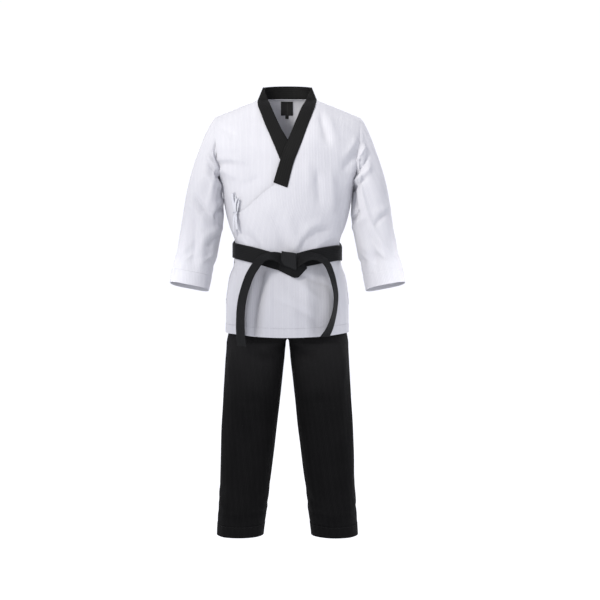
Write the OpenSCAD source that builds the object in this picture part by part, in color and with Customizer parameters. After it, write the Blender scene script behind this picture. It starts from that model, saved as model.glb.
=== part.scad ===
// Martial arts uniform: a wrap jacket with a V collar, a knotted belt and a pair of trousers.
// It hangs as it does on a wearer. The origin is the middle of the neck, level with the neck ends
// of the shoulder seams. +Z is up and -Y is the front. Left and right are the wearer's: left is +X.

/* [Jacket] */
// Half the width between the neck ends of the shoulder seams
neck_half = 93; // [88:1:98]
// Half the width between the shoulder tips
shoulder_half = 224; // [220:1:228]
// How far the shoulder tips lie below the neck
shoulder_drop = 53; // [45:1:60]
// How far the armpits lie below the neck
armpit_drop = 262; // [250:1:270]
// Half the width between the armpits
armpit_half = 205; // [202:1:208]
// Half the width at the waist, under the belt
waist_half = 161; // [159:1:164]
// How far the belt lies below the neck, at the sides
waist_drop = 458; // [452:1:464]
// Half the width of the skirt at its hem
skirt_half = 194; // [190:1:200]
// How far the jacket's hem lies below the neck
hem_drop = 725; // [718:1:730]
// Thickness of the cloth plies
cloth = 2.4; // [1.8:0.1:2.6]
// Width of the collar band
collar_w = 41; // [36:1:44]

/* [Sleeves] */
// Slope of the hanging sleeve, outwards from vertical, in degrees
sleeve_slope = 11; // [9:1:13]
// Half the width of the sleeve at the elbow
elbow_half = 64; // [60:1:66]
// Half the width of the sleeve at the wrist
wrist_half = 60; // [54:1:62]
// Depth of the turned-up cuff
cuff_w = 40; // [30:1:45]

/* [Belt] */
// Width of the belt
belt_w = 43; // [38:1:45]
// Thickness of one layer of the belt
belt_t = 2.6; // [2:0.1:3]
// Fall of the belt from its sides to its front, as a share of the depth
belt_tilt = 0.36; // [0.3:0.01:0.38]

/* [Trousers] */
// Half the width of the waistband
waistband_half = 147; // [142:1:149]
// Height of the waistband
waistband_h = 40; // [35:1:44]
// How far the crotch lies below the neck
crotch_drop = 747; // [745:1:752]
// How far the knee seam lies below the neck
knee_drop = 985; // [965:1:1010]
// How far the trouser hems lie below the neck
leg_drop = 1340; // [1320:1:1360]
// Depth of the turned-up trouser hem
leg_hem_w = 36; // [30:1:42]

/* [Hidden] */

white = "ghostwhite";
black = [0.12, 0.12, 0.13];
ply = cloth + 0.6;        // from one layer of cloth to the next
seam = 0.6;               // half the gap that a seam across a tube leaves between two pieces
side_seam = 2.4;          // half the gap that a shoulder or side seam leaves
below_belt = 34;          // how far the panels run on below the belt, down to where the skirts swing
FRONT = -1;
BACK = 1;
LEFT = 1;
RIGHT = -1;

// ---------------------------------------------------------------- sums

function mix(a, b, t) = a + (b - a) * t;
function unit(v) = v / norm(v);
function ease(t) = t <= 0 ? 0 : t >= 1 ? 1 : t * t * (3 - 2 * t);
function steps(n) = [for (i = [0 : n - 1]) i / (n - 1)];
function total(v, i = 0) = i == len(v) - 1 ? v[i] : v[i] + total(v, i + 1);
function bezier(a, m, b, t) = (1 - t) * (1 - t) * a + 2 * t * (1 - t) * m + t * t * b;
function mirrored(rows) = [for (r = rows) [for (j = [len(r) - 1 : -1 : 0]) [-r[j].x, r[j].y, r[j].z]]];

// ---------------------------------------------------------------- sheets of cloth

// A sheet is rows of points on its outer face. Seen from outside, rows run down and points run right.
// A closed sheet is a tube: the last point of a row is joined to its first.
function outward(rows, i, j) =
  let (n = len(rows), m = len(rows[0]),
       down = rows[min(i + 1, n - 1)][j] - rows[max(i - 1, 0)][j],
       right = rows[i][min(j + 1, m - 1)] - rows[i][max(j - 1, 0)])
  unit(cross(down, right));

// The sheet moved outwards by d. With a start, the first columns move less, so that edge stays in place.
function moved_out(rows, d, start = 0) = [
  for (i = [0 : len(rows) - 1]) [
    for (j = [0 : len(rows[0]) - 1])
      rows[i][j] + d * (start == 0 ? 1 : ease(j / start)) * outward(rows, i, j)
  ]
];

// Each row drawn towards its own middle by d, in its own plane
function drawn_in(rows, d) =
  [for (r = rows) let (c = total(r) / len(r)) [for (p = r) p + (c - p) * d / norm(c - p)]];

function two(a, b, c, d) = [[a, b, c], [a, c, d]];

// The solid between two sheets of the same size
module between(outer, inner, closed) {
  n = len(outer);
  m = len(outer[0]);
  cells = closed ? m : m - 1;
  in0 = n * m;
  function at(i, j) = i * m + j % m;
  faces = [
    for (i = [0 : n - 2], j = [0 : cells - 1])
      each two(at(i, j), at(i, j + 1), at(i + 1, j + 1), at(i + 1, j)),
    for (i = [0 : n - 2], j = [0 : cells - 1])
      each two(in0 + at(i + 1, j), in0 + at(i + 1, j + 1), in0 + at(i, j + 1), in0 + at(i, j)),
    for (j = [0 : cells - 1]) each two(at(0, j + 1), at(0, j), in0 + at(0, j), in0 + at(0, j + 1)),
    for (j = [0 : cells - 1])
      each two(at(n - 1, j), at(n - 1, j + 1), in0 + at(n - 1, j + 1), in0 + at(n - 1, j)),
    if (!closed) for (i = [0 : n - 2])
      each concat(two(at(i, 0), at(i + 1, 0), in0 + at(i + 1, 0), in0 + at(i, 0)),
                  two(at(i + 1, m - 1), at(i, m - 1), in0 + at(i, m - 1), in0 + at(i + 1, m - 1)))
  ];
  polyhedron([for (r = outer) each r, for (r = inner) each r], faces, convexity = 6);
}

module sheet(rows, thick = cloth) between(rows, moved_out(rows, -thick), false);
module tube(rows, thick = cloth) between(rows, drawn_in(rows, thick), true);

// ---------------------------------------------------------------- the body of the jacket

// Half the width and the depths of the jacket at a height, where the belt counts as level.
// Above the armpits the width runs on into the sleeves' roots.
half_widths = [
  [-hem_drop - 20, skirt_half], [-620, skirt_half], [-545, mix(waist_half, skirt_half, 0.7)],
  [-505, waist_half + 5], [-485, waist_half], [-430, waist_half], [-416, waist_half + 8],
  [-394, 178], [-344, 191], [-armpit_drop, armpit_half], [-205, 231], [-150, 250], [100, 250]
];
front_depths = [
  [-hem_drop - 20, 149], [-620, 139], [-545, 126], [-435, 120],
  [-380, 127], [-300, 130], [-200, 127], [100, 126]
];
back_depths = [
  [-hem_drop - 20, 143], [-600, 134], [-530, 108], [-435, 100],
  [-350, 104], [-250, 113], [-150, 110], [100, 105]
];
function middle_depth(z, side) = lookup(z, side == FRONT ? front_depths : back_depths);
nape_depth = 62;          // from the neck's middle to the back of the collar
nape_rise = 19;           // the nape above the shoulder seams

function half_width(z) = lookup(z, half_widths);
function shoulder_z(x) = -shoulder_drop * max(0, abs(x) - neck_half) / (shoulder_half - neck_half);
// From 0 on a shoulder seam to 1 where the cloth has rounded over to its full depth
function rounding(u) = u <= 0 ? 0 : u >= 1 ? 1 : pow(1 - pow(1 - u, 1.6), 1 / 1.6);
function neck_arc(x) = abs(x) >= neck_half ? 0 : sqrt(1 - pow(x / neck_half, 2));

// The belt slopes down towards the front, and the cloth near it follows that slope.
// slope_share is how much of it.
function belt_z(y) = -waist_drop + belt_tilt * y;
function waist_y(x, side) =
  side * middle_depth(-waist_drop, side) * sqrt(max(0, 1 - pow(x / waist_half, 2)));
function slope_share(z) = max(0, min(1, (200 - abs(z + waist_drop)) / 140));
function levelled(x, z, side) = z - belt_tilt * waist_y(x, side) * slope_share(z);

// How far the jacket's outer face stands in front of or behind the middle, at a place seen from the front
function depth(x, z, side) =
  let (level = levelled(x, z, side),
       full = middle_depth(level, side) * sqrt(max(0, 1 - pow(x / half_width(level), 2))),
       top = shoulder_z(x) + (side == BACK ? nape_rise * neck_arc(x) : 0),
       open = side == BACK ? nape_depth * neck_arc(x) : 0)
  mix(min(open, full), full, rounding((top - z) / mix(200, 120, min(1, abs(x) / shoulder_half))));

function on_jacket(x, z, side) = [x, side * max(side_seam, depth(x, z, side)), z];

// The armhole lies in a plane from the shoulder tip to the armpit
function armhole_x(z) =
  mix(shoulder_half, armpit_half, (-shoulder_drop - z) / (armpit_drop - shoulder_drop));
function edge_x(z) = z > -armpit_drop ? armhole_x(z) : half_width(z);

// The panels end in a line a little below the belt
panel_drop = waist_drop + belt_w / 2 + below_belt;
function panel_end(x, side) = -panel_drop + belt_tilt * waist_y(x, side);

// Heights of the rows at the armhole and down the side, then just above and below the belt
armhole_level = -145;
function near_top(i) = pow(min(1, i / 4), 2);
side_levels = concat([for (i = [0 : 4]) mix(-shoulder_drop, armhole_level, near_top(i))],
                     [-200, -armpit_drop, -310, -355, -396],
                     [for (up = [42, 24, -24]) up - waist_drop], [-panel_drop]);
last = len(side_levels) - 1;
function row_z(level, x, side) =
  level + belt_tilt * waist_y(x, side) * (level < -waist_drop ? 1 : slope_share(level));

// The over panel's free edge: under its lapel, then slanting to the right side, then down it
over_edge = [
  [-600, -142], [-434, -146], [-380, -160], [-352, -150], [-287, -62],
  [-266, -28], [-217, 6], [-66, 60], [0, neck_half]
];
// The under panel's free edge: under its lapel, then hidden under the over panel
under_edge = [[-600, 140], [-360, 140], [-205, -6], [-79, -58], [0, -neck_half]];
free_levels = concat([0, -14, -42, -90, -150, -215, -266, -300, -352, -396],
                     [for (i = [10 : last]) side_levels[i]]);

// Half of the front, from its left end to its right end as seen from the front.
// Columns crowd towards both ends.
function front_rows(left_ends, right_ends) = [
  for (i = [0 : last]) [
    for (s = steps(14))
      let (p = mix(left_ends[i], right_ends[i], (1 - cos(180 * s)) / 2))
      on_jacket(p.x, row_z(p.y, p.x, FRONT), FRONT)
  ]
];
function side_ends(hand) = [for (z = side_levels) [hand * edge_x(z), z]];
function free_ends(edge) = [for (z = free_levels) [lookup(z, edge), z]];

// The back runs from one armhole to the other. Its top row follows the shoulder seams and the neckline.
half_columns = [1, 0.975, 0.91, 0.8, 0.66, 0.53, neck_half / shoulder_half, 0.32, 0.22, 0.11];
back_columns = concat(half_columns, [0], [for (i = [9 : -1 : 0]) -half_columns[i]]);
function back_rows() = [
  for (i = [0 : last]) [
    for (c = back_columns)
      let (x = c * edge_x(side_levels[i]), top = shoulder_z(x) + nape_rise * neck_arc(x))
      on_jacket(x, i < 4 ? mix(top, armhole_level, near_top(i)) : row_z(side_levels[i], x, BACK), BACK)
  ]
];

// The under panel sinks from the side seam, over its first columns, to lie under the over panel
under_in = 3.1 * ply;
module front_over() color(white) sheet(front_rows(free_ends(over_edge), side_ends(LEFT)));
module front_under() color(white)
  sheet(moved_out(front_rows(side_ends(RIGHT), free_ends(under_edge)), -under_in, 4));
module back_panel() color(white) sheet(back_rows());

// ---------------------------------------------------------------- collar, label and ties

// The two edges of a lapel seen from the front, from the shoulder down: the sewn edge, then the free one
over_sewn = [[92, 2], [88, -12], [84, -30], [72, -66], [63, -92],
             [54, -119], [36, -169], [18, -217], [1, -285]];
over_free = [[77, 44], [69, 24], [60, 4], [43, -36], [32, -68],
             [19, -104], [-3, -164], [-20, -212], [-38, -270]];
under_sewn = [[-92, 2], [-91, -10], [-87, -28], [-74, -64], [-64, -92],
              [-52, -120], [-38, -154], [-17, -205], [4, -250]];
under_free = [[-77, 44], [-69, 22], [-60, 2], [-44, -44], [-34, -68],
              [-18, -105], [1, -140], [22, -180], [42, -225]];

function lapel_edge(points, out) =
  [for (p = points) [p.x, FRONT * (max(3, depth(p.x, p.y, FRONT)) + out * ease((20 - p.y) / 40)), p.y]];

// The cloth between a left and a right edge that run down
module band(left, right, across = 4, thick = cloth)
  sheet([for (i = [0 : len(left) - 1]) [for (t = steps(across)) mix(left[i], right[i], t)]], thick);

over_out = 8;             // outer faces of the lapels, out from the jacket's surface
under_out = -4.8;
module collar_over() color(black) band(lapel_edge(over_free, over_out), lapel_edge(over_sewn, over_out));
module collar_under() color(black)
  band(lapel_edge(under_sewn, under_out), lapel_edge(under_free, under_out));

// The back of the collar stands on the neckline, leaning inwards
module collar_back() color(black) {
  lean = 15;
  angles = [for (s = steps(15)) mix(4, 176, s)];
  low = [for (a = angles)
    [(neck_half + 1) * cos(a), (nape_depth + 3) * sin(a) + 1, nape_rise * sin(a) + 2]];
  high = [for (a = angles)
    [(neck_half - lean) * cos(a), (nape_depth - 3) * sin(a) + 1, nape_rise * sin(a) + collar_w + 2]];
  sheet([high, (low + high) / 2, low]);
}

// A flat piece on the inside of the back, seen from the front between two corners
module inside_back(low, high)
  sheet(moved_out([for (t = steps(5)) [for (s = steps(4))
    on_jacket(mix(high.x, low.x, s), mix(high.y, low.y, t), BACK)]], -cloth - 1.6), label_t);

label_t = 0.8;
label_x = -3;
module neck_label() color(black) inside_back([label_x - 18, -30], [label_x + 18, 10]);
module size_tab() color(black) inside_back([label_x - 5, -42], [label_x + 5, -31]);

// A ribbon of a width along points, its face turned by an angle about Z at each point
function ribbon(points, turns, width) = [
  for (i = [0 : len(points) - 1])
    let (w = [cos(turns[i]), -sin(turns[i]), 0] * width / 2) [points[i] - w, points[i] + w]
];

// The outer side tie is made of two flat tapes that end in a bow
tape_w = 9;
tape_t = 1.2;
bow_at = [-154, -358];    // the bow's knot, seen from the front
bow_turn = -50;           // the way the cloth faces there

module on_side() translate([bow_at.x, FRONT * (depth(bow_at.x, bow_at.y, FRONT) + 8), bow_at.y])
  rotate([0, 0, bow_turn]) children();

module bow_loop(lean, length) rotate([0, lean, 0]) hull() {
  sphere(3, $fn = 16);
  translate([0, -1, length - 6]) scale([1, 0.6, 1]) sphere(6, $fn = 16);
}

module side_tie_bow() color(white) on_side() {
  bow_loop(-8, 62);
  bow_loop(14, 44);
  sphere(5.5, $fn = 20);
}

module side_tie_ends() color(white) on_side() for (s = [-1, 1]) translate([s * 6, 0, -7])
  sheet(ribbon([[0, 0, 0], [s, -1, -22], [s * 2, 1, -44 - 10 * s]], [0, 8, 15], tape_w), tape_t);

// The hidden tie holds the under panel's free edge to the inside of the left side seam
module inner_tie() color(white) translate([128, -62, -356]) rotate([0, 0, 42])
  sheet(ribbon([[0, 0, 14], [0, 0, 0], [2, 0, -30], [0, 0, -52]], [0, 0, 6, 10], tape_w), tape_t);

// ---------------------------------------------------------------- belt

// A point of the belt at an angle from the front, out from the jacket and up from the belt's middle
function belt_point(a, out, up) =
  let (y = -(middle_depth(-waist_drop, cos(a) > 0 ? FRONT : BACK) + out) * cos(a))
  [(waist_half + out) * sin(a), y, belt_z(y) + up];

module belt_wrap(out) color(black) {
  around = [for (j = [0 : 39]) 9 * j];
  between([for (u = [0.5, -0.5]) [for (a = around) belt_point(a, out + belt_t, u * belt_w)]],
          [for (u = [0.5, -0.5]) [for (a = around) belt_point(a, out, u * belt_w)]], true);
}

first_wrap = 3;                                   // out from the jacket
second_wrap = first_wrap + belt_t + 0.6;
wing_out = second_wrap + belt_t + 1.2 + belt_t;   // outer face of the tails where they lie on the belt
module belt_inner_wrap() belt_wrap(first_wrap);
module belt_outer_wrap() belt_wrap(second_wrap);

// The knot: an upright turn of the belt over a pointed fold. Its outlines are seen from the front.
fold_outline = [[-13, 28], [32, 27], [38, 12], [34, -24], [-26, -19], [-28, -12]];
turn_outline = [[5, 26], [33, 25], [38, 16], [39, -20], [34, -42], [26, -46], [14, -43], [2, -26]];
module knot_layer(outline, out, deep)
  translate([0, belt_point(0, second_wrap + belt_t + out, 0).y, belt_z(belt_point(0, 0, 0).y) - 1])
    rotate([90, 0, 0]) linear_extrude(deep) polygon(outline);
module belt_knot() color(black) {
  knot_layer(fold_outline, 0.8, 9);
  knot_layer(turn_outline, 3, 13);
}

// Where a tail leaves the knot it lies on the belt and narrows towards its bend
module belt_wing(near, far, drop) color(black) {
  hand = sign(far);
  sections = [for (s = steps(6)) [for (u = [1, -1])
    belt_point(mix(near, far, s), wing_out, u * mix(belt_w / 2 - 2, belt_w / 2 - 9, s) - drop * s)]];
  sheet([for (u = [0, 1]) [for (i = [0 : 5]) sections[hand > 0 ? i : 5 - i][u]]], belt_t);
}

module belt_wing_left() belt_wing(16, 50, 2);
module belt_wing_right() belt_wing(-11, -34, 8);

// The middle lines of the hanging tails, and how far each is turned about Z from facing the front.
// The upper stretch stays with the belt. The lower stretch swings.
right_upper = [[-106, -134, -530], [-118, -138, -561]];
right_lower = [[-118, -138, -564], [-128, -139, -600], [-135, -140, -640],
               [-137, -141, -680], [-136, -145, -715], [-131, -151, -750]];
left_upper = [[136, -124, -530], [142, -126, -561]];
left_lower = [[142, -126, -564], [146, -127, -600], [144, -130, -640],
              [137, -134, -672], [126, -141, -702], [113, -148, -724]];

module tail(points, turns) color(black) sheet(ribbon(points, turns, belt_w), belt_t);
module belt_tail_right_upper() tail(right_upper, [42, 48]);
module belt_tail_right_lower() tail(right_lower, [48, 54, 56, 56, 54, 50]);
module belt_tail_left_upper() tail(left_upper, [-60, -66]);
module belt_tail_left_lower() tail(left_lower, [-66, -70, -72, -68, -60, -50]);

// ---------------------------------------------------------------- skirts of the jacket

vent = 8;                 // gap in front of the middle at the open side vents
skirt_hem_w = 26;
skirt_gap = 6;            // between the panels and the skirts
hem_lift = 13;            // the hem is this much higher at the sides

// A skirt between two shares of its half width, and two shares of its height
function skirt_rows(from, to, v0, v1, rows, columns, side) = [
  for (v = steps(rows)) [
    for (s = steps(columns))
      let (t = mix(v0, v1, v), guess = mix(panel_end(waist_half, side), -hem_drop, t),
           x = half_width(guess) * sin(mix(asin(from), asin(to), s)) * (side == FRONT ? 1 : -1),
           z = mix(panel_end(x, side) - skirt_gap, -hem_drop + hem_lift * pow(x / skirt_half, 2), t))
      [x, side * max(side == FRONT ? vent : side_seam, depth(x, z, side)), z]
  ]
];

hem_share = 1 - skirt_hem_w / (hem_drop - panel_drop);
hem_from = hem_share + 0.006;
over_start = -0.95;       // the over skirt's free edge, as a share of the half width
under_skirt_end = 0.8;    // and the under skirt's, which is hidden
under_skirt_in = 2.4 * ply;
module skirt_front_over() color(white) sheet(skirt_rows(over_start, 1, 0, hem_share, 6, 15, FRONT));
module skirt_front_under() color(white)
  sheet(moved_out(skirt_rows(-1, under_skirt_end, 0, 0.99, 7, 15, FRONT), -under_skirt_in));
module skirt_front_hem() color(white) sheet(skirt_rows(over_start, 1, hem_from, 1, 2, 15, FRONT));
module skirt_back() color(white) sheet(skirt_rows(-1, 1, 0, hem_share, 6, 17, BACK));
module skirt_back_hem() color(white) sheet(skirt_rows(-1, 1, hem_from, 1, 2, 17, BACK));

// ---------------------------------------------------------------- sleeves

down_arm = [sin(sleeve_slope), 0, -cos(sleeve_slope)];
across_arm = [cos(sleeve_slope), 0, sin(sleeve_slope)];
elbow_at = [258, 0, -340];
arm_below_elbow = 233;
cuff_from = arm_below_elbow - cuff_w + 0.5;

// A ring round an arm. It starts at the front and runs towards the outside.
function arm_ring(centre, across, half, deep) =
  [for (a = [0 : 18 : 342]) centre + half * sin(a) * across - [0, deep * cos(a), 0]];

// The armhole's edge, in the order of arm_ring: sin is 1 at the shoulder tip and -1 at the armpit
function armhole_ring() = [
  for (a = [0 : 18 : 342])
    let (z = mix(-armpit_drop, -shoulder_drop, (1 + sin(a)) / 2), x = armhole_x(z),
         side = cos(a) >= 0 ? FRONT : BACK)
    [x + 2 * seam, side * depth(x, z, side) * (abs(cos(a)) < 0.01 ? 0 : 1), z]
];

function elbow_ring(along) = arm_ring(elbow_at + down_arm * along, across_arm,
  mix(elbow_half, wrist_half, along / arm_below_elbow), mix(58, 45, along / arm_below_elbow));

// The upper sleeve curves from the armhole to the elbow. Its bend is the curve's control ring.
bend_at = [243.5, 0, -219.5];
bend_slope = 63.3;        // how far the control ring is turned towards the armhole, in degrees
function upper_sleeve_rows() =
  let (top = armhole_ring(), end = elbow_ring(-seam),
       bend = arm_ring(bend_at, [cos(bend_slope), 0, sin(bend_slope)], 101, 70))
  [for (t = steps(6)) [for (j = [0 : 19]) bezier(top[j], bend[j], end[j], t)]];
function lower_sleeve_rows(from, to, rows) = [for (t = steps(rows)) elbow_ring(mix(from, to, t))];

module both_sides(rows, side) color(white) tube(side == LEFT ? rows : mirrored(rows));

module sleeve_upper_left() both_sides(upper_sleeve_rows(), LEFT);
module sleeve_upper_right() both_sides(upper_sleeve_rows(), RIGHT);
module sleeve_lower_left() both_sides(lower_sleeve_rows(seam, arm_below_elbow - cuff_w, 4), LEFT);
module sleeve_lower_right() both_sides(lower_sleeve_rows(seam, arm_below_elbow - cuff_w, 4), RIGHT);
module cuff_left() both_sides(lower_sleeve_rows(cuff_from, arm_below_elbow, 2), LEFT);
module cuff_right() both_sides(lower_sleeve_rows(cuff_from, arm_below_elbow, 2), RIGHT);

// ---------------------------------------------------------------- trousers

waist_top = -waist_drop + 36;     // top edge of the waistband
waist_front = 100;                // depths of the waistband
waist_back = 90;
seat_half = 181;                  // half the width and the depths of the seat at the crotch
seat_front = 112;
seat_back = 120;
seat_top = waist_top - waistband_h - seam;
leg_top = -crotch_drop;

function waist_ring(z, out) = [for (a = [0 : 15 : 345])
  [(waistband_half + out) * sin(a), -(out + (cos(a) > 0 ? waist_front : waist_back)) * cos(a), z]];

// The waistband is folded over its elastic, so it is open only at the bottom, where the seat is sewn in.
// Each fold is a list of [out, z], from the bottom of its inner leaf over the top to the bottom of its
// outer leaf.
ply_t = 1.4;
band_t = 5.3;
waist_bottom = waist_top - waistband_h;
outer_fold = [[-band_t, waist_bottom], [-band_t, waist_top + ply_t],
              [0, waist_top + ply_t], [0, waist_bottom]];
inner_fold = [[ply_t - band_t, waist_bottom], [ply_t - band_t, waist_top],
              [-ply_t, waist_top], [-ply_t, waist_bottom]];
elastic_out = ply_t + 0.4;
elastic_in = band_t - elastic_out;
elastic_margin = 2;

module waistband() color(black)
  between([for (p = outer_fold) waist_ring(p.y, p.x)], [for (p = inner_fold) waist_ring(p.y, p.x)], true);
module waist_elastic() color("ivory") {
  levels = [waist_top - elastic_margin, waist_bottom + elastic_margin];
  outer = [for (z = levels) waist_ring(z, -elastic_out)];
  inner = [for (z = levels) waist_ring(z, -elastic_in)];
  between(outer, inner, true);
}

// The left leg: its middle, half width and depth at a height
leg_middles = [[-leg_drop, 146], [-1162, 130], [-989, 117], [-865, 106], [-crotch_drop, 96]];
leg_halves = [[-leg_drop, 72], [-1162, 79], [-989, 86], [-865, 89], [-crotch_drop, 92]];
leg_depths = [[-leg_drop, 80], [-1040, 90], [-865, 98], [-crotch_drop, 105]];

// Half of the left leg's outline, from its inside edge round the front, or from its outside edge
// round the back
function leg_half(z, side, columns) = [
  for (s = steps(columns))
    let (a = 180 * (side == FRONT ? s : 1 - s))
    [lookup(z, leg_middles) - lookup(z, leg_halves) * cos(a),
     side * max(seam, lookup(z, leg_depths) * sin(a)), z]
];

function leg_rows(top, bottom, rows, side) =
  [for (t = steps(rows)) leg_half(mix(top, bottom, t), side, 11)];

// A quarter of the seat, from the middle of the body to the side, going over into half of a leg
function seat_quarter(z, side) =
  let (v = (z - seat_top) / (leg_top - seat_top), wide = mix(waistband_half, seat_half, pow(v, 1.5)),
       deep = side == FRONT ? mix(waist_front, seat_front, ease(v)) :
                              mix(waist_back, seat_back, ease(v * 1.4)),
       into_leg = pow(v, 6), leg = leg_half(leg_top, side, 11))
  [for (j = [0 : 10])
    let (a = 9 * (side == FRONT ? j : 10 - j), p = [wide * sin(a) + 1, side * max(seam, deep * cos(a)), z])
    mix(p, [leg[j].x, leg[j].y, z], into_leg)];

seat_shares = [0, 0.25, 0.5, 0.68, 0.8, 0.9, 0.96, 1];
function seat_rows(side) = [for (v = seat_shares) seat_quarter(mix(seat_top, leg_top, v), side)];

module trouser_panel(rows, side) color(black) sheet(side == LEFT ? rows : mirrored(rows));

hem_top = -leg_drop + leg_hem_w;
module seat_front_left() trouser_panel(seat_rows(FRONT), LEFT);
module seat_front_right() trouser_panel(seat_rows(FRONT), RIGHT);
module seat_back_left() trouser_panel(seat_rows(BACK), LEFT);
module seat_back_right() trouser_panel(seat_rows(BACK), RIGHT);
module thigh_front_left() trouser_panel(leg_rows(leg_top - 2, -knee_drop, 4, FRONT), LEFT);
module thigh_front_right() trouser_panel(leg_rows(leg_top - 2, -knee_drop, 4, FRONT), RIGHT);
module thigh_back_left() trouser_panel(leg_rows(leg_top - 2, -knee_drop, 4, BACK), LEFT);
module thigh_back_right() trouser_panel(leg_rows(leg_top - 2, -knee_drop, 4, BACK), RIGHT);
module shin_front_left() trouser_panel(leg_rows(-knee_drop - 1, hem_top, 4, FRONT), LEFT);
module shin_front_right() trouser_panel(leg_rows(-knee_drop - 1, hem_top, 4, FRONT), RIGHT);
module shin_back_left() trouser_panel(leg_rows(-knee_drop - 1, hem_top, 4, BACK), LEFT);
module shin_back_right() trouser_panel(leg_rows(-knee_drop - 1, hem_top, 4, BACK), RIGHT);

module leg_hem(side) color(black) {
  rows = [for (z = [hem_top - 0.8, -leg_drop]) [
    for (a = [0 : 15 : 345])
      [lookup(z, leg_middles) + lookup(z, leg_halves) * sin(a), -lookup(z, leg_depths) * cos(a), z]]];
  tube(side == LEFT ? rows : mirrored(rows));
}
module leg_hem_left() leg_hem(LEFT);
module leg_hem_right() leg_hem(RIGHT);

// ---------------------------------------------------------------- the nodes

back_panel();
front_over();
front_under();
collar_back();
collar_over();
collar_under();
neck_label();
size_tab();
side_tie_bow();
side_tie_ends();
inner_tie();
belt_inner_wrap();
belt_outer_wrap();
belt_knot();
belt_wing_left();
belt_wing_right();
skirt_front_over();
skirt_front_under();
skirt_front_hem();
skirt_back();
skirt_back_hem();
belt_tail_left_upper();
belt_tail_left_lower();
belt_tail_right_upper();
belt_tail_right_lower();
sleeve_upper_left();
sleeve_upper_right();
sleeve_lower_left();
sleeve_lower_right();
cuff_left();
cuff_right();
waistband();
waist_elastic();
seat_front_left();
seat_front_right();
seat_back_left();
seat_back_right();
thigh_front_left();
thigh_front_right();
thigh_back_left();
thigh_back_right();
shin_front_left();
shin_front_right();
shin_back_left();
shin_back_right();
leg_hem_left();
leg_hem_right();
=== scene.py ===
"""The looks of a martial arts uniform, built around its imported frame.

Shapes are worked out in millimetres in the frame's own axes: +Z up, -Y to the front and +X to the
wearer's left. They become metres when a mesh is made. A grid of points is rows that run down and
columns that run right, both as seen from outside the cloth.
"""
import math

import bpy
import numpy as np
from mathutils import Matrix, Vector, noise


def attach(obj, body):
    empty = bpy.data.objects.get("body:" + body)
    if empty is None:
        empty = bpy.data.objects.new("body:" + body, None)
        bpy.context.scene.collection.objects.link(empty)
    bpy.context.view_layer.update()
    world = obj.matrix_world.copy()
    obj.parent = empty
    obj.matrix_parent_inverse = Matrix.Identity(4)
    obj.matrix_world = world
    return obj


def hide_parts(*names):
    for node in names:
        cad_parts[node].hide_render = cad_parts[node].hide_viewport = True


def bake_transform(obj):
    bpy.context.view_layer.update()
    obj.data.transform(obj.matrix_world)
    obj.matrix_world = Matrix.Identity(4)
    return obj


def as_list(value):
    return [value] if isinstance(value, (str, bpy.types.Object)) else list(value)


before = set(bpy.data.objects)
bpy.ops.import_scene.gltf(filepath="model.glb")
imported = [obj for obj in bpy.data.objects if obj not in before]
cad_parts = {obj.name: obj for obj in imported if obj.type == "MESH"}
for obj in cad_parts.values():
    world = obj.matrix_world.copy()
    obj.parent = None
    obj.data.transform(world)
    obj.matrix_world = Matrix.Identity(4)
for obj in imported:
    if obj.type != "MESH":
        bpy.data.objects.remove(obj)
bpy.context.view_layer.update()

MM = 0.001
FRONT, BACK = -1, 1
LEFT, RIGHT = 1, -1


# ---------------------------------------------------------------- sums

def mix(a, b, t):
    return a + (b - a) * t


def ease(t):
    t = np.clip(t, 0, 1)
    return t * t * (3 - 2 * t)


def lookup(at, table):
    """A value that goes straight from one row of the table to the next, with its corners rounded off."""
    places, values = zip(*table)
    return sum(np.interp(at + shift, places, values) for shift in (-14, -7, 0, 7, 14)) / 5


def unit(v):
    return v / np.maximum(np.linalg.norm(v, axis=-1, keepdims=True), 1e-9)


def distances(line):
    """How far along a line each of its points lies."""
    return np.r_[0, np.cumsum(np.linalg.norm(np.diff(line, axis=0), axis=1))]


def evenly(line, count):
    far = distances(line)
    at = np.linspace(0, far[-1], count)
    return np.stack([np.interp(at, far, values) for values in line.T], axis=1)


def spline(points, count):
    """count points, at even distances, on a smooth curve through the given ones."""
    p = np.array(points, float)
    p = np.vstack([2 * p[0] - p[1], p, 2 * p[-1] - p[-2]])
    t = np.linspace(0, 1, 20, endpoint=False)[:, None]
    parts = [b + (c - a) * t / 2 + (a - 2.5 * b + 2 * c - d / 2) * t ** 2
             + (1.5 * (b - c) + (d - a) / 2) * t ** 3
             for a, b, c, d in zip(p, p[1:], p[2:], p[3:])]
    return evenly(np.vstack(parts + [p[-2:-1]]), count)


def mirrored(grid):
    """The grid on the body's other side, still with its rows running right as seen from outside."""
    return grid[:, ::-1] * (-1, 1, 1)


# ---------------------------------------------------------------- the jacket's surface, as in the CAD model

NECK_HALF, SHOULDER_HALF, SHOULDER_DROP = 93, 224, 53
ARMPIT_DROP, ARMPIT_HALF = 262, 205
WAIST_DROP, WAIST_HALF, BELT_TILT = 458, 161, 0.36
HEM_DROP, SKIRT_HALF = 725, 194
NAPE_DEPTH, NAPE_RISE = 62, 19
COLLAR_WIDTH = 41
BELT_WIDTH, BELT_THICK = 43, 2.6
CLOTH = 1.3

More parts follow.
